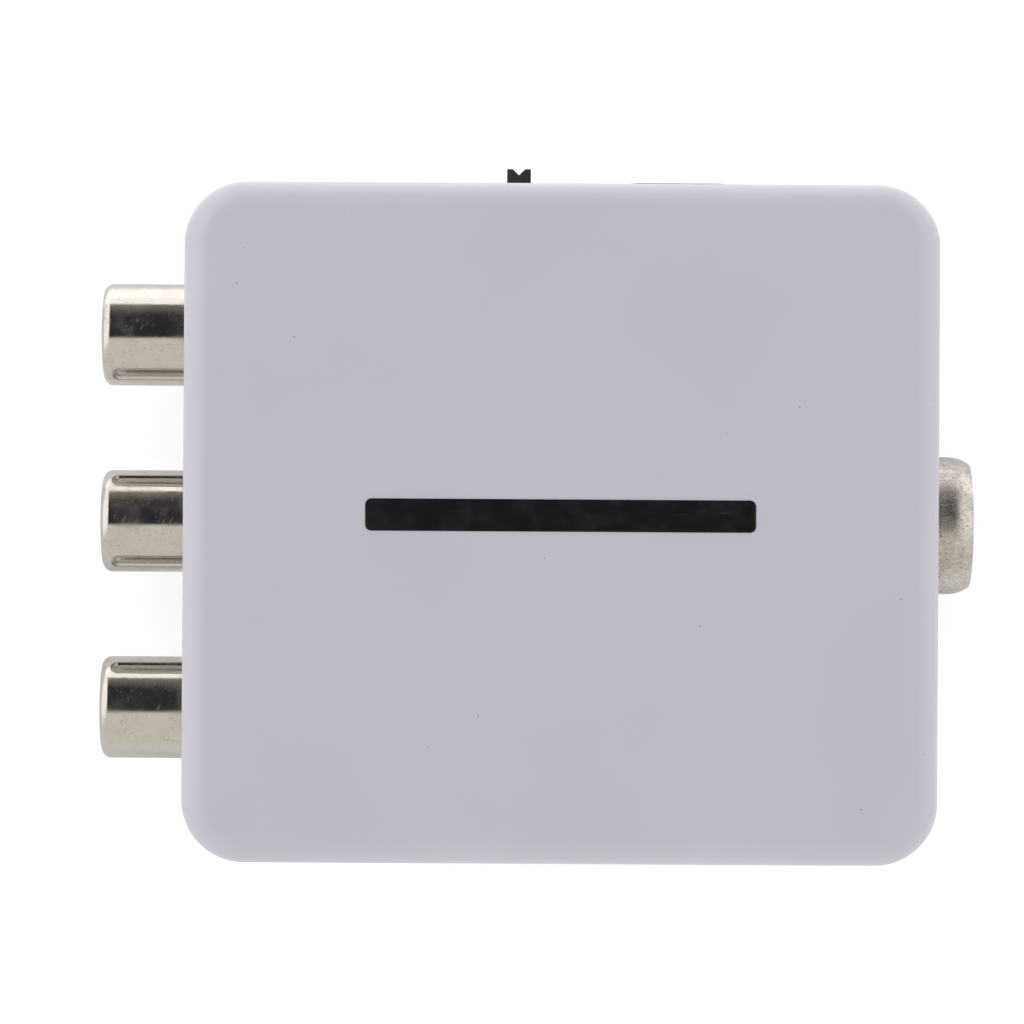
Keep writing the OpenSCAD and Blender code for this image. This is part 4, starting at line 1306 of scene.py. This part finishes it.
@dataclass
class AerialSocket:
    """Cast coaxial socket: a rough collar with a rounded nose, a white disc and a split contact."""

    outer_r: float = 5.6
    bore_r: float = 4.8
    bore_l: float = 9.8
    nose_r: float = 3.0
    nose_l: float = 1.75
    mouth: float = 0.12
    mouth_soft: float = 0.1
    boss_r: float = 2.25
    boss_segments: int = 64
    contact_r: float = 1.7
    block_l: float = 6.5
    block_w: float = 13.0
    block_down: float = 5.2
    block_up: float = 4.4
    block_soft: float = 0.25
    leg_r: float = 0.6
    leg_segments: int = 32
    leg_tip: float = 0.15
    leg_top: float = 5.0
    leg_inset: float = 1.2
    bite: float = 1.0
    row: float = 0.16
    segments: int = 288
    skin_depth: float = 0.03
    skin_fade: float = 0.4
    bore_room: float = 0.1
    grain_size: float = 0.9
    grain_middle: float = 0.6

    def cast_skin(self, piece: Piece) -> None:
        """Roughens the visible end of the casting by moving its surface in and out.

        Args:
            piece: the turned collar.
        """
        wall, fade = span("bottom_shell")[1].x * MM, self.skin_fade * MM
        work = Modelling(piece, "cast_skin", CAST, {
            "Depth": self.skin_depth * MM, "Grain": per(self.grain_size), "Seed": 7.0,
            "Bore": (self.bore_r + self.bore_room) * MM, "Inside": wall - fade,
            "Outside": wall + fade, "Height": span("top_shell")[1].z / 2 * MM,
        })
        add, given = work.add, work.given
        at = add("GeometryNodeInputPosition")
        split = add(SPLIT, at).outputs
        grain = add((NOISE, {"noise_dimensions": "4D"}), Vector=at, W=given["Seed"],
                    Scale=given["Grain"], Detail=3.0, Roughness=0.6)
        out = add(FADE, split["X"], given["Inside"], given["Outside"])
        flat = add(JOINED, Y=split["Y"], Z=add(MINUS, split["Z"], given["Height"]))
        skin = add(ABOVE, add(REACH, flat), given["Bore"])
        depth = add(TIMES, add(TIMES, out, skin), given["Depth"])
        rise = add(TIMES, add(MINUS, grain, self.grain_middle), depth)
        offset = add(STRETCHED, add("GeometryNodeInputNormal"), rise)
        work.end(add("GeometryNodeSetPosition", Geometry=given["Geometry"], Offset=offset))

    def body(self) -> None:
        """Builds the casting: collar, square shoulder, legs and bore."""
        low, high = span("aerial_socket_body")
        length, z = high.x - low.x, span("aerial_socket_contact")[1].z - self.contact_r
        centre, lip = (high.x, 0.0, z), self.bore_r + self.mouth
        nose = arc((self.outer_r - self.nose_r, self.nose_l), self.nose_r,
                   -math.degrees(math.asin(self.nose_l / self.nose_r)), 0, steps=14)
        outer = [(r, d) for r, d in nose if r > lip]
        last = outer[-1][1]
        count = int((length - last) / self.row)
        section = eased([(self.bore_r, self.bore_l), (self.bore_r, self.mouth), (lip, 0.0), outer[0]],
                        [0, self.mouth_soft, self.mouth_soft, 0]) + outer[1:]
        section += [(self.outer_r, last + (length - last) * (k + 1) / count) for k in range(count)]
        section += [(self.boss_r, length), (self.boss_r, self.bore_l)]
        piece = turned("aerial_casting", [(r, -d) for r, d in section], centre, Axis.PLUS_X,
                       self.segments)
        shoulder = block("shoulder", (low.x, -self.block_w / 2, z - self.block_down),
                         (low.x + self.block_l, self.block_w / 2, z + self.block_up), self.block_soft)
        for radius, start, end, segments in (
            (self.boss_r, -length - self.bite, -self.bore_l, self.boss_segments),
            (self.bore_r, -self.bore_l, self.bite, self.segments),
        ):
            tool = [(0, start), (radius, start), (radius, end), (0, end)]
            combined(shoulder, [turned("bore", tool, centre, Axis.PLUS_X, segments)], Join.CUT)
        leg = [(0, low.z), (self.leg_r - self.leg_tip, low.z), (self.leg_r, low.z + self.leg_tip),
               (self.leg_r, z - self.leg_top), (0, z - self.leg_top)]
        leg_y = self.block_w / 2 - self.leg_inset
        legs = [turned("leg", leg, (x, side * leg_y, 0.0), Axis.PLUS_Z, self.leg_segments)
                for x in (low.x + self.leg_inset, low.x + self.block_l - self.leg_inset)
                for side in SIDES]
        self.cast_skin(piece)
        combined(piece, [shoulder, *legs], Join.ADD)
        fitted(smoothed(piece, angle=45), CAST, ["aerial_socket_body"])

    def build(self) -> None:
        """Builds the casting, and eases the disc and the contact inside it."""
        self.body()
        softened("aerial_socket_insulator", "aerial_disc", WHITE, ease=0.1)
        softened("aerial_socket_contact", "aerial_contact", BRASS, ease=0.05)


@dataclass
class PowerSocket:
    """Folded shell of the power socket, its tongue and its five contacts."""

    half_shares: tuple[Point2, ...] = ((0.5, 1.0), (0.5, 0.46), (0.42, 0.3), (0.42, 0.0))
    height: float = 3.95
    width: float = 7.7
    sheet: float = 0.3
    sheet_soft: float = 0.03
    fold: float = 0.55
    fold_share: float = 0.8
    latch: Point3 = (1.0, 2.0, 1.8)
    latch_back: float = 2.2
    bite: float = 1.0
    tab: Point3 = (1.6, 0.7, 3.6)
    tab_inset: float = 1.0
    tab_root_share: float = 0.4
    tab_soft: float = 0.05
    tab_up: float = 0.01

    def outline(self, inset: float) -> list[Point2]:
        """Section of the shell about its middle line, from its lowest level.

        Args:
            inset: distance in from the outside.

        Returns:
            The points, anticlockwise, with rounded folds.
        """
        wide, tall = self.width - 2 * inset, self.height - 2 * inset
        right = [(u * wide, inset + v * tall) for u, v in self.half_shares]
        left = [(-u, v) for u, v in reversed(right)]
        fold = self.fold - inset * self.fold_share
        return eased((right + left)[::-1], fold, steps=6, closed=True)

    def shell(self) -> None:
        """Builds the folded shell with its latch windows and solder tabs."""
        low, high = span("power_socket_shell")
        x, z, soft, sheet = (low.x + high.x) / 2, low.z, self.sheet_soft, self.sheet
        rows = [(sheet - soft, high.y), (soft, high.y), (0.0, high.y - soft), (0.0, low.y + soft),
                (soft, low.y), (sheet - soft, low.y), (sheet, low.y + soft), (sheet, high.y - soft)]
        piece = skinned("power_shell", [[(x + u, y, z + v) for u, v in self.outline(inset)]
                                        for inset, y in rows], ring=True)
        wide, long, apart = self.latch
        front = high.y - self.latch_back
        latches = []
        tabs = []
        for side in SIDES:
            middle = x + side * apart
            latches.append(block("latch", (middle - wide / 2, front - long, high.z - self.bite),
                                 (middle + wide / 2, front, high.z + self.bite)))
            ends = sorted((x + side * self.width * self.tab_root_share,
                           x + side * (self.width / 2 + self.tab[1])))
            for row in (0, 1):
                y = low.y + self.tab_inset + row * self.tab[2]
                tabs.append(block("tab", (ends[0], y, z + self.tab_up),
                                  (ends[1], y + self.tab[0], z + sheet), self.tab_soft))
        combined(piece, latches, Join.CUT)
        combined(piece, tabs, Join.ADD)
        fitted(smoothed(piece, angle=40), TIN, ["power_socket_shell"])

    def build(self) -> None:
        """Builds the shell, eases the tongue and dresses the contacts."""
        self.shell()
        softened("power_socket_tongue", "power_tongue", BLACK, ease=0.08)
        dressed("power_socket_contacts", BRASS)


@dataclass
class ChannelSwitch:
    """Slide switch: the knob and wiper that move, and the frame, base and terminals round them."""

    knob_w: float = 1.96
    knob_h: float = 1.6
    knob_root: float = 1.0
    knob_soft: float = 0.05
    tip_grow: float = 0.07
    tip_eases: tuple[float, ...] = (0, 0.07, 0.05, 0.03, 0.05, 0.07, 0)
    notch_w: float = 1.0
    notch_d: float = 0.5
    slider_l: float = 4.0
    slider_t: float = 1.6
    slider_soft: float = 0.1

    def knob(self) -> None:
        """Builds the knob with a V in its tip, on its slider."""
        low, high = span("switch_knob")
        x, z = (low.x + high.x) / 2, (low.z + high.z) / 2
        half, notch = self.knob_w / 2, self.notch_w / 2
        root, tip = low.y + self.knob_root, high.y + self.tip_grow
        outline = eased([(half, root), (half, tip), (notch, tip), (0.0, tip - self.notch_d),
                         (-notch, tip), (-half, tip), (-half, root)], self.tip_eases, closed=True)
        piece = prism("switch_slider", outline, soft_ends(self.knob_h / 2, self.knob_soft),
                      lambda u, v, h: (x + u, v, z + h))
        slider = block("slider", (x - self.slider_l / 2, low.y, low.z),
                       (x + self.slider_l / 2, low.y + self.slider_t, high.z), self.slider_soft)
        combined(piece, [slider], Join.ADD)
        fitted(smoothed(piece, angle=40), BLACK, ["switch_knob"], Body.SWITCH)

    def build(self) -> None:
        """Builds the knob, and dresses the rest of the switch."""
        self.knob()
        softened("switch_frame", "switch_sheet", TIN, ease=0.06)
        softened("switch_wiper", "switch_bridge", BRASS, ease=0.03, body=Body.SWITCH)
        dressed("switch_base", PAPER)
        dressed("switch_terminals", BRASS)


@dataclass
class Electronics:
    """The circuit board and what is soldered to it, closed in by the case."""

    solder_r: float = 0.85
    solder_h: float = 0.55
    solder_jitter: float = 0.16
    solder_segments: int = 16
    solder_shares: tuple[Point2, ...] = (
        (0, 0.1), (1.0, 0.1), (1.0, -0.06), (0.8, -0.22), (0.62, -0.5), (0.52, -0.8), (0.42, -1.0),
        (0, -1.0),
    )
    leg_most: float = 1.8
    leg_out: float = 0.05
    terminal: float = 0.28
    terminal_soft_share: float = 0.06
    proud: float = 0.02
    seed: int = 4

    def islands(self, node: str, below: float = math.inf) -> list[tuple[Vector, Vector]]:
        """Finds a node's separate parts, or the separate ends that reach below a level.

        Args:
            node: the node's name.
            below: only what lies under this level counts.

        Returns:
            Lowest and highest corner of each.
        """
        shape = bmesh.new()
        shape.from_mesh(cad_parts[node].data)
        bmesh.ops.remove_doubles(shape, verts=shape.verts, dist=WELD)
        left = {vert for vert in shape.verts if vert.co.z < below * MM}
        boxes = []
        while left:
            reached, edge = [], [min(left, key=lambda vert: vert.index)]
            left.discard(edge[0])
            while edge:
                vert = edge.pop()
                reached.append(vert.co / MM)
                for link in vert.link_edges:
                    other = link.other_vert(vert)
                    if other in left:
                        left.discard(other)
                        edge.append(other)
            boxes.append(tuple(Vector(pick(p[k] for p in reached) for k in range(3))
                               for pick in (min, max)))
        shape.free()
        return sorted(boxes, key=lambda box: tuple(box[0]))

    def repeated(self, name: str, shape: Piece, places: Sequence[Vector], size: Sequence[float],
                 jitter: float) -> None:
        """Sets a small shape down at many places with Geometry Nodes, as one plain mesh.

        Args:
            name: name of the piece.
            shape: the small shape, one millimetre across; it is deleted.
            places: where it stands.
            size: its size along each axis, in millimetres.
            jitter: how much its size and turn may vary, from 0 to 1.
        """
        piece = meshed(name, places, [])
        work = Modelling(piece, name, TIN, {
            **dict(zip(("Length", "Width", "Height"), size)), "Jitter": jitter, "Seed": self.seed,
        })
        add, given = work.add, work.given
        vary = add(("FunctionNodeRandomValue", {"data_type": "FLOAT"}), Min=-0.5, Max=0.5,
                   Seed=given["Seed"])
        part = add(TIMES, vary, given["Jitter"])
        scale = add(STRETCHED, add(JOINED, given["Length"], given["Width"], given["Height"]),
                    add(PLUS, part, 1.0))
        work.end(add("GeometryNodeInstanceOnPoints",
                     Points=add("GeometryNodeMeshToPoints", Mesh=given["Geometry"]),
                     Instance=add("GeometryNodeObjectInfo", Object=shape).outputs["Geometry"],
                     Rotation=add(JOINED, Z=add(TIMES, part, 4 * math.pi)), Scale=scale))
        bpy.data.objects.remove(shape)
        fitted(smoothed(piece, angle=45), TIN, [])

    def solder(self) -> None:
        """Solders every leg that comes through the board, with a hollow cone of solder."""
        board = span("circuit_board")[0].z
        soldered = ["aerial_socket_body", "aerial_socket_contact", "power_socket_shell",
                    "switch_frame", "switch_terminals", "shield_fence"]
        soldered += [f"jack_{part}_{colour}" for part in ("barrel", "contact")
                     for colour in InputJacks.colours]
        places = []
        for node in soldered:
            for low, high in self.islands(node, below=board - self.leg_out):
                if max(high.x - low.x, high.y - low.y) < self.leg_most:
                    places.append(Vector((*((low + high) / 2).xy, board)))
        cone = turned("solder_cone", self.solder_shares, (0, 0, 0), Axis.PLUS_Z,
                      self.solder_segments)
        self.repeated("solder_joints", cone, places, (self.solder_r, self.solder_r, self.solder_h),
                      self.solder_jitter)

    def terminals(self) -> None:
        """Puts the two tinned ends on each chip resistor and chip capacitor."""
        for node in ("chip_resistors", "chip_capacitors"):
            chips = self.islands(node)
            size = chips[0][1] - chips[0][0]
            along = 0 if size.x > size.y else 1
            places = []
            for low, high in chips:
                for end in (low[along] + self.terminal / 2, high[along] - self.terminal / 2):
                    place = (low + high) / 2
                    place[along] = end
                    places.append(place)
            sides = [side + 2 * self.proud for side in size]
            sides[along] = self.terminal + 2 * self.proud
            sides[2] = size.z + self.proud
            cap = block("terminal", (-0.5, -0.5, -0.5), (0.5, 0.5, 0.5), self.terminal_soft_share)
            self.repeated(f"{node}_ends", cap, places, sides, 0.0)

    def build(self) -> None:
        """Dresses the board and its parts, and solders them."""
        for node, name, finish, ease in (
            ("crystal_can", "crystal_cover", TIN, 0.0),
            ("crystal_base", "crystal_foot", TIN, 0.08),
            ("capacitor_cans", "cans_of_capacitors", ALUMINIUM, 0.0),
            ("capacitor_bases", "feet_of_capacitors", BLACK, 0.1),
            ("modulator_chip", "chip_moulding", BLACK, 0.12),
            ("regulator_body", "regulator_moulding", BLACK, 0.1),
            ("shield_fence", "shield_wall", TIN, 0.05),
            ("shield_lid", "shield_cover", TIN, 0.05),
        ):
            softened(node, name, finish, ease)
        for node, finish in (("circuit_board", BOARD), ("modulator_chip_leads", TIN),
                             ("regulator_leads", TIN), ("chip_resistors", BLACK_CHIP),
                             ("chip_capacitors", TAN_CHIP)):
            dressed(node, finish)
        self.solder()
        self.terminals()


@dataclass
class Studio:
    """A white sweep under soft light, seen from straight above."""

    camera_at: Point3 = (-3.91, 0.911, 403.0)
    camera_roll: float = 0.345
    view_angle: float = 12.152
    clip: Point2 = (0.01, 20.0)
    floor_half: float = 2500.0
    floor_white: Colour = (0.84, 0.84, 0.84, 1.0)
    floor_mirrored: Colour = (0.74, 0.74, 0.74, 1.0)
    beyond: Point2 = (27.0, 42.0)
    beyond_glow: Point2 = (0.16, 0.8)
    aside: Point2 = (-46.0, -39.0)
    aside_glow: Point2 = (0.1, 1.0)
    aside_slant: float = 0.8
    camera_glow: float = 0.42
    dark_turns: tuple[float, ...] = (-13.0, -4.0, 42.0, 70.0, 74.0)
    dark_reach: tuple[Point2, Point2] = ((0.2, 0.34), (0.33, 0.56))
    lens_dark: Colour = (0.03, 0.03, 0.037, 1.0)
    lens_pale: Colour = (0.2, 0.185, 0.17, 1.0)
    room_near: Colour = (0.75, 0.72, 0.68, 1.0)
    room_far: Colour = (1.36, 1.34, 1.31, 1.0)
    room_left: Colour = (1.25, 1.25, 1.27, 1.0)
    room_right: Colour = (1.12, 1.11, 1.1, 1.0)
    room_side: float = 0.6
    room_side_share: float = 0.37
    room_back: Point2 = (-0.1, 0.3)
    ahead_near: Point2 = (-0.6, -0.1)
    ahead_far: Point2 = (0.8, 0.4)
    horizon: float = 2.02
    overhead: float = 1.62
    lean: float = 0.05
    lean_way: Point2 = (-0.45, 0.9)
    blue: float = 1.01
    lamp_at: Point3 = (-420.0, 520.0, 560.0)
    lamp_size: float = 700.0
    lamp_power: float = 1.0

    def camera(self) -> None:
        """Places the camera above the case, as the photograph was taken."""
        lens = bpy.data.cameras.new("camera")
        lens.angle = math.radians(self.view_angle)
        lens.clip_start, lens.clip_end = self.clip
        camera = placed("camera", lens)
        camera.location = Vector(self.camera_at) * MM
        camera.rotation_euler = (0, 0, math.radians(self.camera_roll))
        bpy.context.scene.camera = camera

    def floor(self) -> None:
        """Lays a white floor that the camera sees as white, and that keeps a soft shadow."""
        half = self.floor_half
        corners = [(-half, -half, 0), (half, -half, 0), (half, half, 0), (-half, half, 0)]
        floor = meshed("floor", corners, [(0, 1, 2, 3)])
        material = bpy.data.materials.new("white_sweep")
        add = emptied(material)
        rays = add(RAYS).outputs
        mirror = add(LARGER, rays["Is Glossy Ray"], rays["Is Transmission Ray"])
        matt = add("ShaderNodeBsdfDiffuse", add(MIX, mirror, self.floor_white, self.floor_mirrored))
        out = add(SPLIT, add(WHERE).outputs["Object"]).outputs
        beyond = add(FADE, out["Y"], *(y * MM for y in self.beyond), *self.beyond_glow)
        slant = add(TIMES_PLUS, out["Y"], self.aside_slant, out["X"])
        inward = add(FADE, slant, *(x * MM for x in self.aside), *self.aside_glow)
        glint = add(TIMES, add(TIMES, beyond, inward), mirror)
        seen = add(TIMES_PLUS, rays["Is Camera Ray"], self.camera_glow, glint)
        both = add("ShaderNodeAddShader", matt, add("ShaderNodeEmission", Strength=seen))
        add("ShaderNodeOutputMaterial", both)
        floor.data.materials.append(material)

    def surroundings(self) -> None:
        """Sets the soft surroundings: white to the camera, and to metal a pale room with the dark
        of the lens overhead."""
        world = bpy.data.worlds.new("studio")
        add = emptied(world)
        way = add(WHERE).outputs["Generated"]
        split = add(SPLIT, way).outputs
        back, across = split["Y"], split["X"]
        roll = add(ROLL, back, split["Z"])
        rise, full, pale, fall, last = (math.radians(turn) for turn in self.dark_turns)
        left, right = self.dark_reach
        dark = add(FADE, roll, rise, full)
        for value, start, end in ((roll, last, fall), (across, -left[1], -left[0]),
                                  (across, right[1], right[0])):
            dark = add(TIMES, dark, add(FADE, value, start, end))
        deep = add(MIX, add(FADE, roll, pale, fall), self.lens_dark, self.lens_pale)
        room = add(MIX, add(FADE, back, *self.room_back), self.room_near, self.room_far)
        ahead = add(TIMES, add(FADE, back, *self.ahead_near), add(FADE, back, *self.ahead_far))
        for far, tone in ((-self.room_side, self.room_left), (self.room_side, self.room_right)):
            side = add(TIMES, add(FADE, across, self.room_side_share * far, far), ahead)
            room = add(MIX, side, room, tone)
        rays = add(RAYS).outputs
        glossy = add(LARGER, rays["Is Glossy Ray"], rays["Is Transmission Ray"])
        lean = add(ALONG, way, (*(way * self.lean for way in self.lean_way), -self.overhead))
        level = add(PLUS, lean, self.horizon)
        even = add("ShaderNodeCombineColor", level, level, add(TIMES, level, self.blue))
        soft = add(MIX, glossy, even, add(MIX, dark, room, deep))
        colour = add(MIX, rays["Is Camera Ray"], soft, (1, 1, 1, 1))
        add("ShaderNodeOutputWorld", add("ShaderNodeBackground", colour))
        bpy.context.scene.world = world

    def lamp(self) -> None:
        """Hangs one large soft lamp beyond the jacks' far corner."""
        light = bpy.data.lights.new("soft_lamp", "AREA")
        light.shape = "SQUARE"
        light.size = self.lamp_size * MM
        light.energy = self.lamp_power
        lamp = placed("soft_lamp", light)
        lamp.location = Vector(self.lamp_at) * MM
        lamp.rotation_euler = (-lamp.location).to_track_quat("-Z", "Y").to_euler()
        lamp.visible_glossy = False

    def build(self) -> None:
        """Builds the studio and sets the plain view."""
        self.camera()
        self.floor()
        self.surroundings()
        self.lamp()
        bpy.context.scene.view_settings.view_transform = "Standard"


def main() -> None:
    """Builds the studio, then each sub-assembly in order."""
    logging.basicConfig(level=logging.INFO, format="%(name)s %(message)s")
    for part in (Studio(), CaseShells(), InputJacks(), AerialSocket(), PowerSocket(),
                 ChannelSwitch(), Electronics()):
        LOG.info("building %s", type(part).__name__)
        part.build()


if __name__ == "__main__":
    main()
